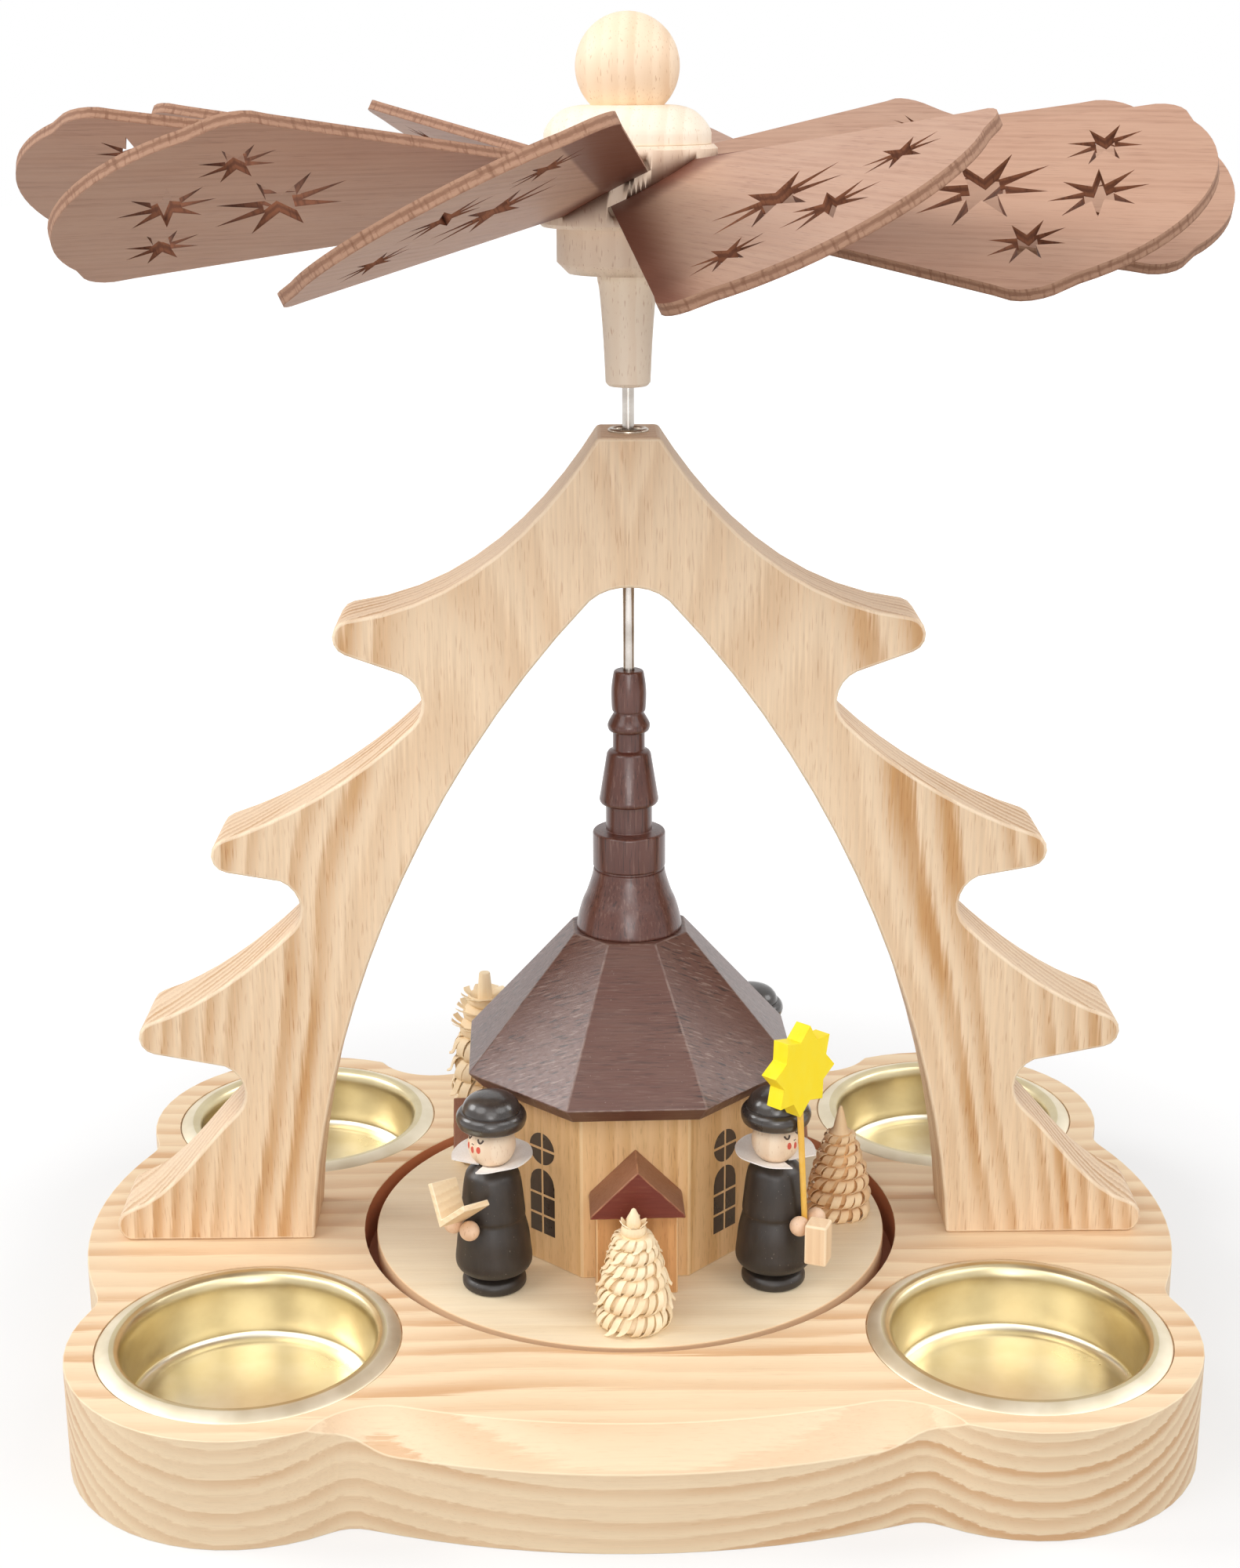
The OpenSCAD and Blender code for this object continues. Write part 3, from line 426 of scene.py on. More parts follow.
def church_finishes():
    """Oiled walls, dark stained roofs and the panes of the windows."""
    layers = Vector((0.0, 0.76, 0.65))
    return dict(
        wall=wood(
            "church_oak", AXIS_Z, AXIS_X, (234, 194, 143), (214, 168, 112), 2.2, dict(pith=30.0, wander=0.8),
            pores=0.6, pore=(3.0, 0.22), pore_tone=(160, 112, 66), rough=0.45, edge=((236, 208, 164), 0.5),
            Specular_IOR_Level=0.4),
        porch=wood(
            "porch_cherry", AXIS_Z, AXIS_X, (226, 172, 116), (204, 146, 90), 1.8, dict(pith=25.0, wander=0.6),
            pores=0.5, pore=(2.2, 0.2), pore_tone=(164, 106, 60), rough=0.42, edge=((240, 206, 158), 0.65),
            Specular_IOR_Level=0.4),
        roof=stain(
            "roof_brown", AXIS_X, layers, (94, 58, 47), (100, 67, 56), (50, 27, 21), (160, 138, 126),
            scratch=(3.6, 0.38, 2.4), scratched=1.4, rough=0.36, edge=0.35, relief=0.05, plain_front=True,
            Specular_IOR_Level=0.6),
        spire=stain(
            "spire_brown", AXIS_Z, AXIS_X, (86, 47, 37), (96, 56, 45), (58, 30, 23), (146, 112, 98),
            scratch=(6.0, 0.4, 0.4), scratched=1.0, rough=0.34, Coat_Weight=0.2, Coat_Roughness=0.1),
        gable=stain(
            "gable_red", AXIS_X, AXIS_Z, (110, 48, 37), (116, 55, 43), (92, 38, 29), (170, 118, 84),
            scratch=(4.0, 0.35, 0.35), scratched=0.3, rough=0.42, edge=0.8, Specular_IOR_Level=0.3),
        # The slopes take a lighter brown than the red front: partly wear, partly a painted highlight where
        # they face the light
        gable_slope_lit_worn=stain(
            "gable_slope_brown", AXIS_Z, AXIS_X, (140, 89, 64), (150, 100, 74), (120, 68, 50),
            (182, 132, 96), scratch=(4.0, 0.35, 0.35), scratched=0.4, rough=0.42, edge=0.6),
        pane=paint("pane_dark", (52, 38, 30), (78, 60, 48), rough=0.3, relief=0.01, grain=2.0))


def figure_finishes():
    """Painted and plain woods of the singers, what they hold, and the shaved trees."""
    return dict(
        coat=paint("coat_black", (41, 35, 31), (61, 53, 48), rough=0.42, dust=0.35),
        hat=paint("hat_black", (48, 42, 39), (72, 65, 60), rough=0.3, grain=5.0, dust=0.2,
                  Coat_Weight=0.35, Coat_Roughness=0.1),
        head=beech("head_beech", (244, 221, 194), (236, 207, 176), (212, 172, 134), rough=0.42),
        hand=beech("hand_beech", (234, 200, 170), (222, 185, 152), (194, 150, 112), rough=0.42),
        line=paint("eye_line", (70, 52, 42), (96, 76, 62), rough=0.5, relief=0.01, grain=1.0),
        blush=paint("face_red", (208, 84, 66), (222, 112, 90), rough=0.45, relief=0.01, grain=1.0),
        paper=paper("collar_card"),
        book=wood(
            "book_linden", AXIS_X, AXIS_Z, (250, 227, 190), (240, 210, 166), 1.2, dict(wander=0.4),
            pores=0.2, pore=(1.5, 0.15), pore_tone=(218, 178, 128), late=0.7, even=0.4, relief=0.02,
            edge=((254, 240, 212), 0.5)),
        lantern=wood(
            "lantern_linden", AXIS_Z, AXIS_X, (243, 214, 178), (230, 194, 152), 1.4, dict(wander=0.4),
            pores=0.2, pore=(1.5, 0.15), pore_tone=(208, 166, 118), late=0.7, even=0.4, relief=0.02,
            edge=((252, 232, 200), 0.6)),
        pole=paint("pole_yellow", (238, 186, 72), (250, 212, 130), rough=0.4),
        star=paint("star_yellow", (255, 228, 40), (255, 234, 70), rough=0.45, relief=0.02, grain=3.0,
                   Specular_IOR_Level=0.2),
        tree_pale=shaving("shaving_pale", (254, 237, 204), (240, 206, 158)),
        tree_brown=shaving("shaving_brown", (254, 228, 188), (234, 188, 134)))


def wheel_finishes():
    """Turned woods and veneers of the wing wheel."""
    return dict(
        hub=beech("hub_beech", (246, 223, 199), (236, 209, 183), (196, 154, 120)),
        # The post is a paler copy of the hub's beech: painted light against the wheel's shadow that falls on
        # it
        post=beech("post_beech_painted_light", (253, 236, 214), (246, 224, 199), (208, 170, 136)),
        cap=beech("cap_beech", (250, 237, 217), (243, 225, 201), (216, 184, 148)),
        ball=beech("ball_beech", (248, 225, 196), (236, 205, 170), (208, 168, 126)),
        blade=veneer("blade_walnut"),
        # Blades 7 and 8 get a band of painted shade along one long edge, where a neighbouring blade shades
        # them
        blade_7=veneer("blade_walnut_block", shaded_side=1, band=(7.6, 8.3)),
        blade_8=veneer("blade_walnut_shade", shaded_side=-1, band=(1.0, 7.5)),
        ply=plies("blade_edge", (174, 135, 111), (124, 86, 66)),
        cut=plies("blade_scorched", (140, 88, 62), (98, 58, 42)))


def metals():
    """Steel of the spindle and the eyelet, and the gold of each cup turned about its own middle."""
    made = dict(
        steel=metal("spindle_steel", (206, 200, 194), (176, 168, 160), rough=0.26),
        eyelet=metal("eyelet_steel", (214, 204, 190), (182, 170, 154), rough=0.28))
    # The wall's gold is darker than the floor's and the rim's: a painted darker reflection on the inner wall
    # of the same metal
    golds = (("", "_gold", (241, 235, 216), (232, 224, 199), 0.3, 0.006),
             ("_wall", "_wall_shade_gold", (213, 199, 161), (202, 186, 148), 0.32, 0.006),
             ("_rim", "_satin", (230, 220, 198), (218, 206, 180), 0.5, 0.01))
    for node in CUPS:
        at = (middle(node) / MM).to_2d()
        for part, name, bright, deep, rough, relief in golds:
            made[node + part] = metal(node + name, bright, deep, rough, at, relief)
    return made


FINISHES = {**board_woods(), **church_finishes(), **figure_finishes(), **wheel_finishes(), **metals()}


# Making meshes

def placed(name, data):
    """A new object in the scene."""
    made = bpy.data.objects.new(name, data)
    bpy.context.scene.collection.objects.link(made)
    return made


def piece(name, node, mesh, finishes, sharp=34.0, weighted=False, matrix=None, stands=True):
    """Turns a bmesh into a named object that rides with a CAD node and, if stands, replaces it.

    finishes is one name from FINISHES or several.
    """
    bmesh.ops.recalc_face_normals(mesh, faces=mesh.faces)
    data = bpy.data.meshes.new(name)
    for face in mesh.faces:
        face.smooth = True
    mesh.to_mesh(data)
    mesh.free()
    data.set_sharp_from_angle(angle=math.radians(sharp))
    for key in (finishes,) if isinstance(finishes, str) else finishes:
        data.materials.append(FINISHES[key])
    shown = placed(name, data)
    if matrix:
        shown.matrix_world = matrix
    if weighted:
        modifier = shown.modifiers.new("even_shading", "WEIGHTED_NORMAL")
        modifier.keep_sharp = True
    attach(shown, BODY[node])
    if stands:
        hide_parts(node)


def turning(name, node, profile, steps, finish, place=None, closed=False, sharp=34.0):
    """A turned piece that stands for a CAD node."""
    mesh = bmesh.new()
    turned(mesh, profile, steps, place, closed)
    piece(name, node, mesh, finish, sharp)


def block(name, node, bevel, finish, keep=None, segments=2):
    """A CAD node's own form with softened edges."""
    piece(name, node, dressed(node, bevel, keep, segments), finish, weighted=True)


def smooth_run(points, per=6):
    """A smooth line through points, per steps from one to the next."""
    points = [Vector(p) for p in points]
    ends = [2 * points[0] - points[1]] + points + [2 * points[-1] - points[-2]]
    line = []
    for a, b, c, d in zip(ends, ends[1:], ends[2:], ends[3:]):
        for i in range(per):
            t = i / per
            line.append(0.5 * (2 * b + (c - a) * t + (2 * a - 5 * b + 4 * c - d) * t * t
                               + (3 * b - a - 3 * c + d) * t ** 3))
    return line + [points[-1]]


def softened(points, radius):
    """A line with its corners rounded by up to radius, in the same units."""
    least_turn, most_share, steps = math.radians(24), 0.45, 4
    points = [Vector(p) for p in points]
    line = [points[0]]
    for before, corner, after in zip(points, points[1:], points[2:]):
        into, out = corner - before, after - corner
        if into.length < 1e-6 or out.length < 1e-6 or into.angle(out) < least_turn:
            line.append(corner)
            continue
        reach = min(radius, most_share * into.length, most_share * out.length)
        start = corner - into.normalized() * reach
        end = corner + out.normalized() * reach
        for i in range(steps + 1):
            t = i / steps
            line.append((1 - t) ** 2 * start + 2 * t * (1 - t) * corner + t * t * end)
    return line + [points[-1]]


def joined(*runs):
    """One line from several, with repeated points left out."""
    line = []
    for run in runs:
        for spot in run:
            spot = Vector(spot)
            if not line or (spot - line[-1]).length > 1e-4:
                line.append(spot)
    return line


def around(radius, angle, height):
    """A point in metres at a radius and height in mm and an angle in radians."""
    return Vector((radius * math.cos(angle), radius * math.sin(angle), height)) * MM


def ball_line(radius, level, start, end, steps=32):
    """Profile of a ball from one elevation to another, in mm and degrees."""
    line = []
    for i in range(steps + 1):
        a = math.radians(start + (end - start) * i / steps)
        line.append((max(radius * math.cos(a), 0.0), level + radius * math.sin(a)))
    return line


def loft(mesh, rings, closed=False):
    """Adds faces between rings of points. A ring of one point is a tip."""
    steps = max(len(ring) for ring in rings)
    pairs = list(zip(rings, rings[1:]))
    if closed:
        pairs.append((rings[-1], rings[0]))
    faces = []
    for low, high in pairs:
        for i in range(steps if max(len(low), len(high)) > 1 else 0):
            j = (i + 1) % steps
            corners = [low[i % len(low)], low[j % len(low)], high[j % len(high)], high[i % len(high)]]
            faces.append(mesh.faces.new(list(dict.fromkeys(corners))))
    return faces


def turned(mesh, profile, steps, place=None, closed=False):
    """Adds a turned form: profile is radius and height in mm. A closed one is a ring around the axis."""
    place = place or Matrix.Identity(4)
    rings = []
    for radius, height in profile:
        count = steps if radius > 1e-5 else 1
        rings.append([mesh.verts.new(place @ around(radius, 2 * math.pi * i / steps, height))
                      for i in range(count)])
    return loft(mesh, rings, closed)


def ribbon(mesh, path, across, width, thick):
    """Adds a closed ribbon along a path. across gives its sideways direction and width a number per point."""
    rows = []
    for i, spot in enumerate(path):
        ahead = (path[min(i + 1, len(path) - 1)] - path[max(i - 1, 0)]).normalized()
        side = across[i].normalized()
        out = ahead.cross(side).normalized()
        half = width[i] / 2
        rows.append([mesh.verts.new(spot + side * s * half + out * t * thick / 2)
                     for s, t in ((-1, -1), (1, -1), (1, 1), (-1, 1))])
    return [mesh.faces.new(rows[0]), mesh.faces.new(rows[-1])] + loft(mesh, rows)


def plate(mesh, outline, thick, place):
    """Adds a flat plate: outline is x, y in mm, and it reaches thick mm along local Z."""
    rings = [[mesh.verts.new(place @ (Vector((x, y, z)) * MM)) for x, y in outline] for z in (0.0, thick)]
    for ring in rings:
        mesh.faces.new(ring)
    loft(mesh, rings)


def strips(mesh, lines):
    """Adds faces between neighbouring open lines of points."""
    for low, high in zip(lines, lines[1:]):
        for i in range(len(low) - 1):
            mesh.faces.new([low[i], low[i + 1], high[i + 1], high[i]])


def dressed(node, bevel=0.0, keep=None, segments=2, matrix=None):
    """A copy of a CAD node's mesh with joined faces and softened edges. keep picks the edges to soften."""
    same_spot, flat, corner = 2e-6, math.radians(0.6), math.radians(30)
    mesh = bmesh.new()
    mesh.from_mesh(frame["nodes"][node].data)
    if matrix:
        bmesh.ops.transform(mesh, matrix=matrix.inverted(), verts=mesh.verts)
    bmesh.ops.remove_doubles(mesh, verts=mesh.verts, dist=same_spot)
    bmesh.ops.dissolve_limit(mesh, angle_limit=flat, verts=mesh.verts, edges=mesh.edges)
    for face in mesh.faces:
        face.material_index = 0
    layer = mesh.faces.layers.float.new("edge")
    chosen = []
    for line in mesh.edges:
        if len(line.link_faces) == 2 and line.calc_face_angle(0.0) > corner:
            spot = (line.verts[0].co + line.verts[1].co) / 2
            if keep is None or keep(spot):
                chosen.append(line)
    if bevel:
        got = bmesh.ops.bevel(mesh, geom=chosen, offset=bevel * MM, segments=segments, profile=0.5,
                              affect="EDGES", clamp_overlap=True)
        for face in got["faces"]:
            face[layer] = 1.0
    return mesh


def outside(radius):
    """Picks the edges further than a radius in mm from the axis."""
    return lambda spot: spot.to_2d().length > radius * MM


# Stand

def near_dowel(spot):
    """True around the holes for the arch's dowels, above the underside."""
    half_width, inner, outer, underside = 0.0045, 0.058, 0.084, 0.002
    return abs(spot.y) < half_width and inner < abs(spot.x) < outer and spot.z > underside


def make_base():
    cup_edge, recess_edge, recess_wall, wall_top = 0.0262, 0.047, 0.0484, BASE_TOP - 0.0006
    steep, flat, chamfer_tint = 0.2, 0.95, 0.1
    centres = [middle(node).to_2d() for node in CUPS]

    def keep(spot):
        clear_of_cups = all((spot.to_2d() - centre).length > cup_edge for centre in centres)
        return clear_of_cups and spot.to_2d().length > recess_edge and not near_dowel(spot)
    mesh = dressed("base_plate", 0.5, keep)
    softened_edge = mesh.faces.layers.float["edge"]
    burnt = mesh.faces.layers.float.new("burnt")
    mesh.normal_update()
    for face in mesh.faces:
        at = face.calc_center_median()
        if at.to_2d().length < recess_wall and at.z < wall_top:
            face[burnt] = 1.0
        elif steep < face.normal.z < flat and not face[softened_edge]:
            face[burnt] = chamfer_tint
    piece("base_board", "base_plate", mesh, "base", weighted=True)


def make_arch():
    clear_of_eyelet = outside(4.0)
    block("arch_board", "tree_arch", 0.55, "arch",
          lambda spot: clear_of_eyelet(spot) and not near_dowel(spot))


def make_cups():
    """Pressed cups: a nearly flat floor, a straight wall and a rolled rim that falls off outwards."""
    floor = smooth_run([(0, 8.34), (6.0, 8.36), (12.0, 8.42), (16.4, 8.5), (17.6, 8.44), (18.7, 8.34),
                        (19.7, 8.6), (20.35, 9.25), (20.5, 10.0)], 4)
    wall = smooth_run([(20.5, 10.0), (20.5, 14.0), (20.52, 17.0), (20.7, 18.5), (21.2, 19.6), (21.9, 20.12)])
    rim = smooth_run([(21.9, 20.12), (22.7, 20.17), (23.6, 19.92), (24.5, 19.5), (25.0, 19.15),
                      (24.85, 18.92)])
    under = [(24.4, 18.82), (21.2, 18.81), (21.2, 8.7), (20.1, 7.62), (0, 7.62)]
    wall_from, satin_from = 0.0203, 0.0227
    for node in CUPS:
        at = middle(node).to_2d()
        mesh = bmesh.new()
        # Faces take the floor, wall or rim gold by their distance from the cup's middle; the wall's darker
        # gold is a painted darker reflection
        for face in turned(mesh, joined(floor, wall, rim, under), 128, Matrix.Translation((*at, 0))):
            away = (face.calc_center_median().to_2d() - at).length
            face.material_index = (away > wall_from) + (away > satin_from)
        piece(node + "_pressed", node, mesh, (node, node + "_wall", node + "_rim"), sharp=50)


def make_eyelet():
    bore, neck = 2.3, 2.68
    top = levels("tree_arch")[1]
    low = levels("guide_bush")[0]
    lip = smooth_run([(3.4, top + 0.02), (3.36, top + 0.3), (3.05, top + 0.5), (2.65, top + 0.46),
                      (2.36, top + 0.2), (bore, top - 0.4)])
    profile = [(bore, low), (neck, low), (neck, top + 0.01)] + lip
    turning("eyelet", "guide_bush", profile, 72, "eyelet", closed=True)


# Carousel

def make_spindle():
    low, high = levels("spindle_rod")
    profile = [(0, low), (0.22, low), (ROD_R, low + 2.6), (ROD_R, high - 0.3), (0.7, high), (0, high)]
    turning("spindle", "spindle_rod", softened(profile, 0.3), 40, "steel")


def make_turntable():
    rim_from = (DISC_R - 0.15) * MM
    low, high = levels("turntable")
    profile = [(ROD_BORE, low), (DISC_R, low), (DISC_R, high), (ROD_BORE, high)]
    mesh = bmesh.new()
    turned(mesh, softened(profile, 0.25), 192, closed=True)
    burnt = mesh.faces.layers.float.new("burnt")
    for face in mesh.faces:
        if face.calc_center_median().to_2d().length > rim_from:
            face[burnt] = 1.0
    piece("turntable_disc", "turntable", mesh, "table")


def make_church():
    slope = 0.3
    block("church_walls", "church_body", 0.35, "wall", outside(10.0))
    block("church_roof_block", "church_roof", 0.22, "roof", outside(6.0))
    for side in ("front", "left", "right", "back"):
        block("porch_block_" + side, "porch_" + side, 0.3, "porch")
        mesh = dressed("gable_" + side, 0.22)
        mesh.normal_update()
        # Faces that look upwards take the lighter slope finish: wear with a painted highlight
        for face in mesh.faces:
            face.material_index = int(face.normal.z > slope)
        piece("gable_block_" + side, "gable_" + side, mesh, ("gable", "gable_slope_lit_worn"), weighted=True)


def make_spire():
    profile = joined(
        [(ROD_BORE, 0), (9.2, 0), (9.2, 0.6)],
        smooth_run([(9.2, 0.6), (8.95, 1.8), (8.6, 3.2), (8.1, 4.8), (7.4, 6.4), (6.8, 8.2), (6.4, 9.6),
                    (6.2, 10.7)]),
        [(5.9, 10.8), (5.9, 11.2), (6.3, 11.3), (6.3, 17.3), (6.05, 17.6), (4.0, 17.7), (4.0, 22.4)],
        smooth_run([(4.0, 22.4), (4.8, 22.6), (5.1, 23.2), (5.0, 24.0)]),
        [(3.8, 31.4), (3.5, 31.9), (2.75, 32.2), (2.75, 35.3)],
        smooth_run([(2.75, 35.3), (3.4, 35.6), (3.65, 36.4), (3.4, 37.2), (2.6, 38.6)]),
        [(2.6, 38.9)],
        smooth_run([(2.6, 38.9), (2.9, 39.4), (3.0, 42.6), (2.6, 45.6), (2.2, 46.1)]),
        [(ROD_BORE, 46.1)])
    foot = Matrix.Translation((0, 0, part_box("church_spire")[0].z))
    turning("spire_turning", "church_spire", softened(profile, 0.22), 96, "spire", foot, closed=True)


def round_headed(left, right, low, level, radius):
    """Outline of a pane under a round head whose circle has the given level and radius."""
    points = [(left, low), (right, low)]
    for i in range(9):
        x = right + (left - right) * i / 8
        points.append((x, level + math.sqrt(max(radius ** 2 - x ** 2, 0.0))))
    return points


def quarter_pane(bar, radius):
    """Outline of a quarter of a round window, bar off its middle lines."""
    start = math.asin(bar / radius)
    points = [(bar, bar)]
    for k in range(11):
        a = start + (math.pi / 2 - 2 * start) * k / 10
        points.append((radius * math.cos(a), radius * math.sin(a)))
    return points


def make_windows():
    """Dark panes with pale bars between them on the four slanting walls."""
    bar, thick, sunk = 0.26, 0.1, 0.03
    round_r, round_level = 2.95, 40.5
    half, spring = 2.9, 33.7
    rows = [(24.4, 27.6), (28.1, 31.5)]
    top_row = 32.0
    for i in range(4):
        turn = math.radians(45 + 90 * i + CHURCH_TURN)
        upright = Matrix.Rotation(turn + math.pi / 2, 4, "Z") @ Matrix.Rotation(math.pi / 2, 4, "X")
        place = Matrix.Translation(around(WALL_REACH - sunk, turn, 0)) @ upright
        above = place @ Matrix.Translation((0, round_level * MM, 0))
        mesh = bmesh.new()
        for quarter in range(4):
            spin = Matrix.Rotation(quarter * math.pi / 2, 4, "Z")
            plate(mesh, quarter_pane(bar, round_r), thick, above @ spin)
        for left, right in ((-half, -bar), (bar, half)):
            for low, high in rows:
                plate(mesh, [(left, low), (right, low), (right, high), (left, high)], thick, place)
            plate(mesh, round_headed(left, right, top_row, spring, half), thick, place)
        piece("window_%d" % i, "church_body", mesh, "pane", sharp=30, stands=False)


# Singers

def singer_place(name):
    """The singer's own frame: on the deck, with X outwards."""
    turn = Matrix.Rotation(math.radians(SINGERS[name]), 4, "Z")
    return turn @ Matrix.Translation((SINGER_ORBIT * MM, 0, DECK))


def make_singer(name):
    place = singer_place(name)
    foot = softened([(0, 0), (5.0, 0), (5.5, 0.5), (5.5, 1.5), (5.0, 2.2), (4.1, 2.6), (4.0, 2.9)], 0.3)
    skirt = smooth_run([(4.0, 2.9), (5.7, 3.5), (6.45, 4.4), (6.6, 5.6), (6.4, 7.5), (6.1, 10.2),
                        (5.4, 13.2)])
    jacket = smooth_run([(5.4, 13.2), (5.52, 13.8), (5.4, 15.2), (5.1, 18.2), (4.8, 20.2), (4.4, 21.4),
                         (3.2, 22.6), (2.6, NECK)])
    body = joined(foot, skirt, jacket, [(0, NECK)])
    turning(name + "_coat", name + "_body", body, 80, "coat", place, sharp=28)

    low, high = -61.0, 51.0
    ball = ball_line(HEAD_R, HEAD_LEVEL, low, high)
    ball = [(0, ball[0][1])] + ball + [(0, ball[-1][1])]
    turning(name + "_ball_head", name + "_head", ball, 64, "head", place)

    brim = smooth_run([(4.9, 0.0), (5.6, 0.4), (5.9, 1.1), (6.0, 1.8), (5.8, 2.5), (5.35, 3.0), (4.95, 3.1)])
    crown = smooth_run([(4.95, 3.1), (4.9, 3.5), (4.5, 4.4), (3.6, 5.3), (2.1, 5.9), (0.8, 6.08), (0, 6.1)])
    on_head = place @ Matrix.Translation((0, 0, BRIM_LEVEL * MM))
    turning(name + "_beret", name + "_hat", joined([(0, 0)], brim, crown), 80, "hat", on_head, sharp=40)

    make_collar(name, place)
    make_face(name)
    mesh = bmesh.new()
    for side in (-1, 1):
        at = Vector((HAND_REACH, side * HAND_SPREAD[name], HAND_LEVEL)) * MM
        turned(mesh, ball_line(HAND_R, 0.0, -90, 90, 24), 40, place @ Matrix.Translation(at))
    piece(name + "_hand_balls", name + "_hands", mesh, "hand")


def collar_sheet(mesh, place, face, lift):
    """Adds the points of one side of the collar: rows from the neck outwards, split at the front."""
    inner, outer, rise, front_drop = 2.45, 6.9, 1.6, 0.75
    gap, gap_growth, waves, wave_height = 0.6, 2.8, 7, 0.08
    lowest, rows, steps = NECK + 0.02, 6, 64
    grid = []
    for r in range(rows + 1):
        share = r / rows
        radius = inner + (outer - inner) * share
        half_gap = math.asin((gap + gap_growth * share) / radius)
        line = []
        for i in range(steps + 1):
            angle = half_gap + (2 * math.pi - 2 * half_gap) * i / steps
            front = max(0.0, math.cos(angle)) ** 2
            wave = wave_height * math.sin(waves * angle) * share
            level = lowest + (rise - front_drop * front) * share + wave + lift
            line.append(mesh.verts.new(place @ around(radius, angle + face, level)))
        grid.append(line)
    return grid


def make_collar(name, place):
    """Split paper collar that rises outwards, with two points at the front."""
    thick = 0.25
    face = math.radians(FACES[name] - SINGERS[name])
    mesh = bmesh.new()
    under, upper = (collar_sheet(mesh, place, face, lift) for lift in (0.0, thick))
    strips(mesh, under)
    strips(mesh, upper)
    for end in (0, -1):
        strips(mesh, [under[end], upper[end]])
        strips(mesh, [[line[end] for line in grid] for grid in (under, upper)])
    piece(name + "_paper_collar", name + "_collar", mesh, "paper")


def make_face(name):
    """Plain doll's face: two closed eyes, dots for a nose, red cheeks and mouth. Angles in degrees."""
    eye_at, eye_up, eye_half, eye_bow = 22.5, 21.5, 8.4, 8.0
    line_wide, line_deep = 0.18 * MM, 0.3 * MM
    dot_at, dot_up, dot_r = 2.6, 14.0, 1.5
    cheek, mouth = (4.0, 5.8, 8.4), (0.0, 5.0, 8.5)
    turn = Matrix.Rotation(math.radians(FACES[name] - SINGERS[name]), 4, "Z")
    head = singer_place(name) @ Matrix.Translation((0, 0, HEAD_LEVEL * MM)) @ turn

    def on_head(to_side, up, lift=0.0):
        a, e = math.radians(to_side), math.radians(up)
        way = Vector((math.cos(e) * math.cos(a), math.cos(e) * math.sin(a), math.sin(e)))
        return head @ (way * (HEAD_R + lift) * MM)

    mesh = bmesh.new()
    for side in (-1, 1):
        shares = [-1 + 0.2 * i for i in range(11)]
        path = [on_head(eye_at * side + eye_half * t, eye_up + eye_bow * t * t) for t in shares]
        across = [spot - head.translation for spot in path]
        ribbon(mesh, path, across, [line_wide] * len(path), line_deep)
        add_dot(mesh, on_head, dot_at * side, dot_up, dot_r, dot_r)
    piece(name + "_eyes", name + "_head", mesh, "line", stands=False)
    mesh = bmesh.new()
    for to_side, spot in ((-19.5, cheek), (19.5, cheek), (0.0, mouth)):
        add_dot(mesh, on_head, to_side, *spot)
    piece(name + "_cheeks", name + "_head", mesh, "blush", stands=False)


def add_dot(mesh, on_head, to_side, up, wide, tall):
    """Adds a thin oval spot of paint that follows the head."""
    steps, sunk, edge, proud = 20, -0.06, 0.05, 0.06
    turns = [2 * math.pi * i / steps for i in range(steps)]
    rings = [[on_head(to_side + wide * math.cos(a), up + tall * math.sin(a), lift) for a in turns]
             for lift in (sunk, edge)]
    tips = [[on_head(to_side, up, lift)] for lift in (sunk, proud)]
    loft(mesh, [[mesh.verts.new(spot) for spot in ring] for ring in (tips[0], *rings, tips[1])])


def make_props():
    """What the singers hold."""
    for name in ("reader", "chorister"):
        block(name + "_song_book", name + "_book", 0.14, "book")
    block("bearer_lantern_block", "bearer_lantern", 0.35, "lantern", segments=3)
    grip = singer_place("bearer") @ Matrix.Translation(Vector((POLE_REACH, 0, HAND_LEVEL)) * MM)
    lean = Matrix.Rotation(math.radians(POLE_LEAN), 4, "X")
    profile = [(0, -0.3), (0.5, -0.3), (0.55, POLE_LENGTH), (0, POLE_LENGTH)]
    turning("bearer_star_pole", "bearer_pole", softened(profile, 0.1), 24, "pole", grip @ lean)
    block("bearer_star_block", "bearer_star", 0.12, "star")


# Shaved trees. Paths and cores are given as shares of a tier's radius and height.

CURL = [(0.55, 0.98), (0.76, 1.06), (0.91, 0.93), (1.0, 0.62), (0.98, 0.28), (0.84, 0.05), (0.66, 0.06)]
HOOK = [(0.55, 0.98), (0.76, 1.06), (0.91, 0.90), (0.98, 0.56), (1.03, 0.30), (1.13, 0.18)]
LOOP = [(0.60, 0.72), (0.79, 0.82), (0.93, 0.70), (1.0, 0.42), (0.98, 0.14), (0.88, 0.0)]
SPIKE = [(0.50, 0.40), (0.74, 0.66), (0.98, 0.82), (1.2, 0.98)]
LEAF = [(0.20, 0.10), (0.45, 0.50), (0.72, 0.90), (1.0, 1.25)]
ROUND_CORE = [(0.70, 0.06), (0.90, 0.28), (0.93, 0.58), (0.82, 0.90)]
FLARED_CORE = [(0.80, 0.04), (0.87, 0.30), (0.80, 0.62), (0.70, 0.97)]

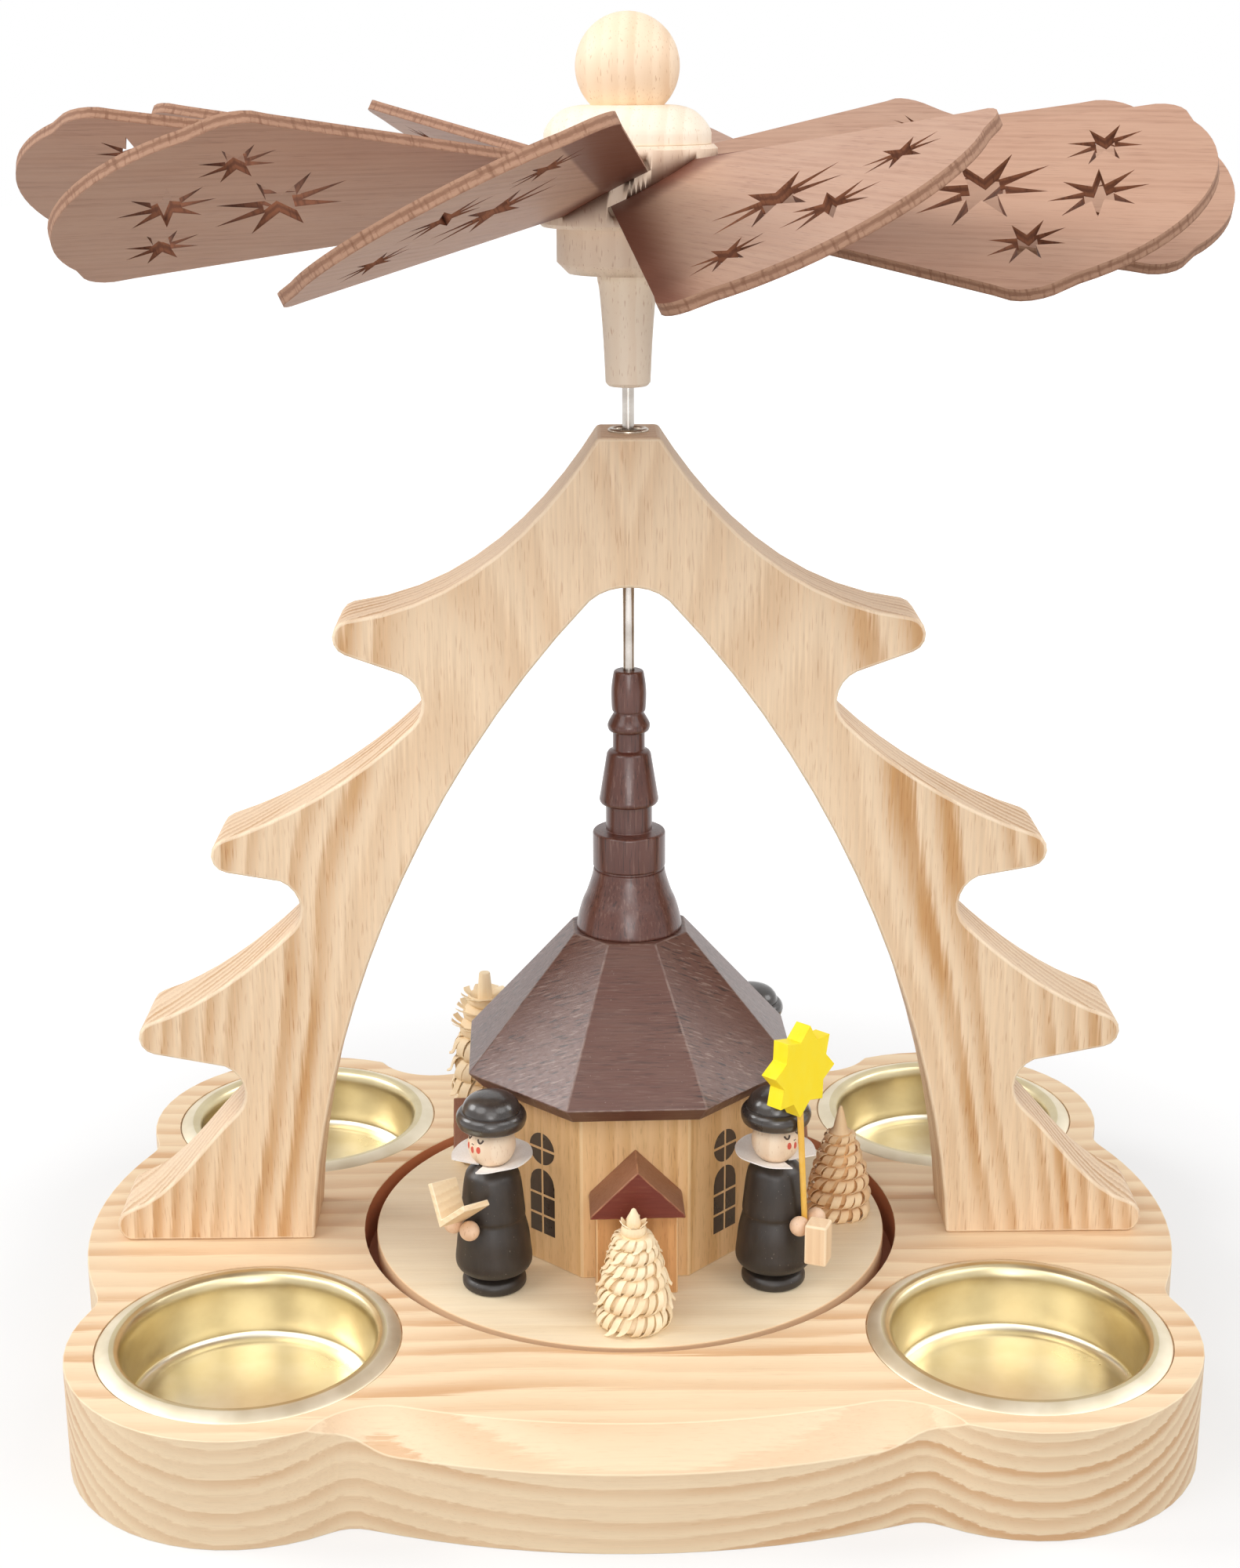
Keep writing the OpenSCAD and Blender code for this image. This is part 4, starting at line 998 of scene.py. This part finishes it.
# floors are the tiers' lower levels, girth the radius at some levels, and tip the stick's end
# as radius and depth below the top, all in mm. top is the path in the last top_tiers tiers,
# hooks the share of hooked ribbons, fill how much of a ring they cover, and count their number
# at a girth of COUNT_GIRTH.
COUNT_GIRTH = 6.4
TREES = {
    "tree_front": dict(
        floors=[0, 3.4, 7.0, 9.7, 12.0, 14.2, 16.0, 18.2], count=21, curl=CURL, hooks=0.4, top=LEAF,
        top_tiers=1, slant=-0.42, fill=0.68, seed=3, colour="tree_pale", core=ROUND_CORE, core_shade=0.35,
        girth=[(1.7, 6.4), (5.2, 6.1), (8.3, 5.6), (10.9, 4.9), (13.1, 4.3), (15.1, 3.6), (17.0, 2.3)],
        tip=[(0.7, 5.0), (1.25, 2.9), (0.95, 1.5), (0.35, 0.25), (0.0, 0.0)]),
    "tree_right": dict(
        floors=[0, 2.8, 5.6, 8.2, 10.5, 12.5, 14.3, 16.0], count=18, curl=LOOP, hooks=0.0, top_tiers=0,
        slant=-0.3, fill=0.72, seed=8, colour="tree_brown", core=FLARED_CORE, core_shade=0.95,
        girth=[(2.6, 5.9), (5.2, 5.7), (7.8, 5.2), (10.4, 4.4), (13.0, 3.6), (15.6, 2.6)],
        tip=[(1.3, 4.4), (1.1, 3.4), (0.6, 1.2), (0.25, 0.1), (0.0, 0.0)]),
    "tree_back": dict(
        floors=[0, 4.3, 8.6, 12.9, 17.2, 21.3, 25.2, 28.6, 31.4, 34.0], count=15, curl=CURL, hooks=0.25,
        top=SPIKE, top_tiers=3, slant=-0.34, fill=0.8, seed=5, colour="tree_pale", core=ROUND_CORE,
        core_shade=0.3,
        girth=[(18.4, 6.6), (22.9, 6.1), (25.8, 5.6), (29.3, 4.8), (31.5, 4.2), (33.8, 3.2)],
        tip=[(1.45, 5.3), (1.3, 3.0), (1.05, 0.2), (0.95, 0.0), (0.0, 0.0)]),
}


def girth_at(girth, level):
    """A tree's radius at a level, between the measured ones, in mm."""
    for (low, wide), (high, narrow) in zip(girth, girth[1:]):
        if level < high:
            share = max(0.0, (level - low) / (high - low))
            return wide + (narrow - wide) * share
    return girth[-1][1]


def make_tree(node):
    """Tiers of thin curled ribbons around a core, with the stick's own tip on top."""
    stick_r, tip_shade, same_spot = 3.6, 0.3, 1e-7
    form = TREES[node]
    rng = random.Random(form["seed"])
    low, high = levels(node)
    at = middle(node)
    place = Matrix.Translation((at.x, at.y, low * MM))
    mesh = bmesh.new()
    layer = mesh.faces.layers.float.new("shade")
    core = [(0, 0), (stick_r, 0)]
    tiers = list(zip(form["floors"], form["floors"][1:]))
    for number, (floor, ceiling) in enumerate(tiers):
        rise = ceiling - floor
        wide = girth_at(form["girth"], floor + 0.5 * rise)
        core += [(share * wide, floor + up * rise) for share, up in form["core"]]
        path = form["top"] if number >= len(tiers) - form["top_tiers"] else form["curl"]
        make_tier(mesh, layer, rng, place, form, path, number, wide, floor, rise)
    tip = [(radius, high - low - down) for radius, down in form["tip"]]
    for profile, shade in ((core, form["core_shade"]), ([core[-1]] + tip, tip_shade)):
        for face in turned(mesh, profile, 32, place):
            face[layer] = shade
    bmesh.ops.remove_doubles(mesh, verts=mesh.verts, dist=same_spot)
    piece(node + "_shaved", node, mesh, form["colour"], sharp=50)


def make_tier(mesh, layer, rng, place, form, shape, number, wide, floor, rise):
    """One ring of ribbons, each a little different."""
    thick, lowest, fewest, lean = 0.14, 0.15, 9, 0.12
    root_width, tail_from = 0.75, 0.75
    spins, slants, swells = (-0.14, 0.14), (0.7, 1.3), (0.96, 1.03)
    lifts, shades = (-0.05, 0.07), (0.05, 0.45)
    count = max(fewest, round(form["count"] * wide / COUNT_GIRTH))
    full = 2 * math.pi * wide / count * form["fill"]
    for k in range(count):
        spin = 2 * math.pi * (k + 0.5 * (number % 2) + rng.uniform(*spins)) / count
        slant = form["slant"] * rng.uniform(*slants)
        swell = rng.uniform(*swells)
        lift = rng.uniform(*lifts)
        hooked = shape is CURL and rng.random() < form["hooks"]
        end_taper = 0.8 if shape is LEAF else 0.5 if hooked else 0.1
        line = smooth_run(HOOK if hooked else shape, 3)
        path, across, width = [], [], []
        for i, spot in enumerate(line):
            share = i / (len(line) - 1)
            angle = spin + slant * (share ** 1.5 - 0.4)
            level = max(floor + (spot.y + lift) * rise, lowest)
            path.append(place @ around(spot.x * wide * swell, angle, level))
            across.append(Vector((-math.sin(angle), math.cos(angle), lean)))
            taper = root_width + (1 - root_width) * math.sin(math.pi * min(share * 1.6, 1.0) / 2)
            tail = 1.0 - end_taper * max(share - tail_from, 0.0) / (1 - tail_from)
            width.append(full * MM * taper * tail)
        shade = rng.uniform(*shades)
        for face in ribbon(mesh, path, across, width, thick * MM):
            face[layer] = shade


# Wing wheel

def make_hub():
    bore = 1.05
    block("slotted_hub", "wing_hub", 0.0, "hub")

    low, high = levels("hub_post")
    foot = softened([(bore, low), (3.2, low), (3.7, low + 0.6)], 0.2)
    swell = smooth_run([(3.7, low + 0.6), (4.05, low + 8.0), (4.6, high - 3.2), (4.95, high - 1.2),
                        (5.0, high)])
    turning("tapered_post", "hub_post", joined(foot, swell, [(bore, high)]), 80, "post", closed=True)

    low = levels("hub_cap")[0]
    rim = softened([(0, low), (13.4, low), (13.4, low + 1.7)], 0.25)
    dome = smooth_run([(13.4, low + 1.7), (13.0, low + 2.7), (11.8, low + 4.2), (10.2, low + 5.36),
                       (8.0, low + 5.95), (6.5, low + 6.0)])
    turning("domed_cap", "hub_cap", joined(rim, dome, [(0, low + 6.0)]), 96, "cap")

    low, high = levels("finial_ball")
    radius, seat = 8.3, -45.3
    ball = [(0, low)] + ball_line(radius, high - radius, seat, 90, 48)
    turning("top_ball", "finial_ball", ball, 96, "ball")


def make_blades():
    """Blades with their sawn edges and the scorched walls of the star cut-outs."""
    stars = [((63.2, 0.0), 10.7), ((81.3, 0.0), 7.5), ((76.4, 13.7), 6.2), ((76.4, -13.7), 6.2)]
    upright, sawn, scorched = 0.5, 1, 2
    for k in range(BLADES):
        node = "blade_%d" % k
        turn = Matrix.Rotation(math.radians(360 / BLADES * k), 4, "Z")
        pitch = Matrix.Rotation(math.radians(BLADE_PITCH), 4, "X")
        matrix = Matrix.Translation((0, 0, WING_LINE)) @ turn @ pitch
        mesh = dressed(node, matrix=matrix)
        for face in mesh.faces:
            face.normal_update()
            if abs(face.normal.z) > upright:
                continue
            at = face.calc_center_median().to_2d() / MM
            in_star = any((at - Vector(centre)).length < radius for centre, radius in stars)
            face.material_index = scorched if in_star else sawn
        skin = node if node in FINISHES else "blade"
        piece("wing_%d" % k, node, mesh, (skin, "ply", "cut"), matrix=matrix)


# Stage

def make_camera():
    at = (-0.00650, -0.38726, 0.21879)
    yaw, pitch, roll = (math.radians(a) for a in (0.7334, 16.835, -0.195))
    ahead = Vector((math.sin(yaw) * math.cos(pitch), math.cos(yaw) * math.cos(pitch), -math.sin(pitch)))
    level = Vector((math.cos(yaw), -math.sin(yaw), 0))
    right = level * math.cos(roll) + level.cross(ahead) * math.sin(roll)
    data = bpy.data.cameras.new("view")
    data.lens = 53.80
    data.sensor_width = 36.0
    data.clip_start = 0.01
    camera = placed("view", data)
    turn = Matrix((right, right.cross(ahead), -ahead)).transposed().to_4x4()
    camera.matrix_world = Matrix.Translation(at) @ turn
    bpy.context.scene.camera = camera


def make_lamp(name, place, size, power, aim=0.1, spread=180.0):
    """A soft round lamp, in metres and watts, that looks at a level on the object's axis."""
    data = bpy.data.lights.new(name, "AREA")
    data.shape = "DISK"
    data.size = size
    data.energy = power
    data.spread = math.radians(spread)
    lamp = placed(name, data)
    lamp.location = place
    lamp.rotation_euler = (Vector((0, 0, aim)) - Vector(place)).to_track_quat("-Z", "Y").to_euler()


def make_world(fill):
    """An even sky of the given level that looks white itself."""
    world = bpy.data.worlds.new("studio")
    bpy.context.scene.world = world
    world.use_nodes = True
    nodes = Nodes(world.node_tree)
    level = nodes.add("MapRange", {"Value": nodes.seen_straight(), "To Min": fill, "To Max": 1.0})
    background = nodes.tree.nodes["Background"].inputs
    background["Color"].default_value = WHITE
    nodes.put(background["Strength"], level.outputs["Result"])


def make_floor(grey, near_glow):
    """A pale floor that looks white away from the object and keeps its shadow."""
    radius, glow_from, glow_full = 4.0, 100.0, 300.0
    mesh = bmesh.new()
    bmesh.ops.create_circle(mesh, cap_ends=True, segments=64, radius=radius)
    data = bpy.data.meshes.new("floor")
    mesh.to_mesh(data)
    mesh.free()
    placed("floor", data)
    coat = Coat("floor_white", Roughness=0.9, Specular_IOR_Level=0.0, Emission_Color=WHITE,
                Base_Color=(grey, grey, grey, 1.0))
    away = coat.add("VectorMath", {0: coat.place}, operation="LENGTH").outputs["Value"]
    glow = coat.step(away, glow_from, glow_full, near_glow, 1.0)
    coat.put(coat.surface.inputs["Emission Strength"], coat.times(glow, coat.seen_straight()))
    data.materials.append(coat.material)


def make_stage():
    bpy.context.scene.view_settings.view_transform = "Standard"
    make_world(fill=0.40)
    make_floor(grey=0.38, near_glow=0.55)
    make_lamp("key", (-0.75, -0.55, 1.00), 0.8, 5.4)
    make_lamp("second", (0.70, -0.55, 1.00), 0.8, 3.6)
    make_lamp("left_sheen", (-0.90, 0.13, 0.65), 0.45, 4.6)
    make_lamp("right_sheen", (0.90, 0.13, 0.65), 0.45, 2.5)
    make_lamp("front_fill", (0.00, -0.55, 0.34), 0.45, 0.95)
    make_lamp("under_wheel", (0.00, -0.70, 0.22), 0.30, 0.043, aim=0.14, spread=30.0)


def finish_nodes():
    """Materials for the hidden CAD nodes that stay as they are."""
    for node, key in (("arch_dowels", "dowel"), ("bearing_cup", "steel")):
        data = frame["nodes"][node].data
        data.materials.clear()
        data.materials.append(FINISHES[key])


def main():
    for make in (make_camera, make_stage, finish_nodes, make_base, make_arch, make_cups, make_eyelet,
                 make_spindle, make_turntable, make_church, make_spire, make_windows):
        make()
    for name in SINGERS:
        make_singer(name)
    make_props()
    for node in TREES:
        make_tree(node)
    make_hub()
    make_blades()
    bpy.context.view_layer.update()


main()
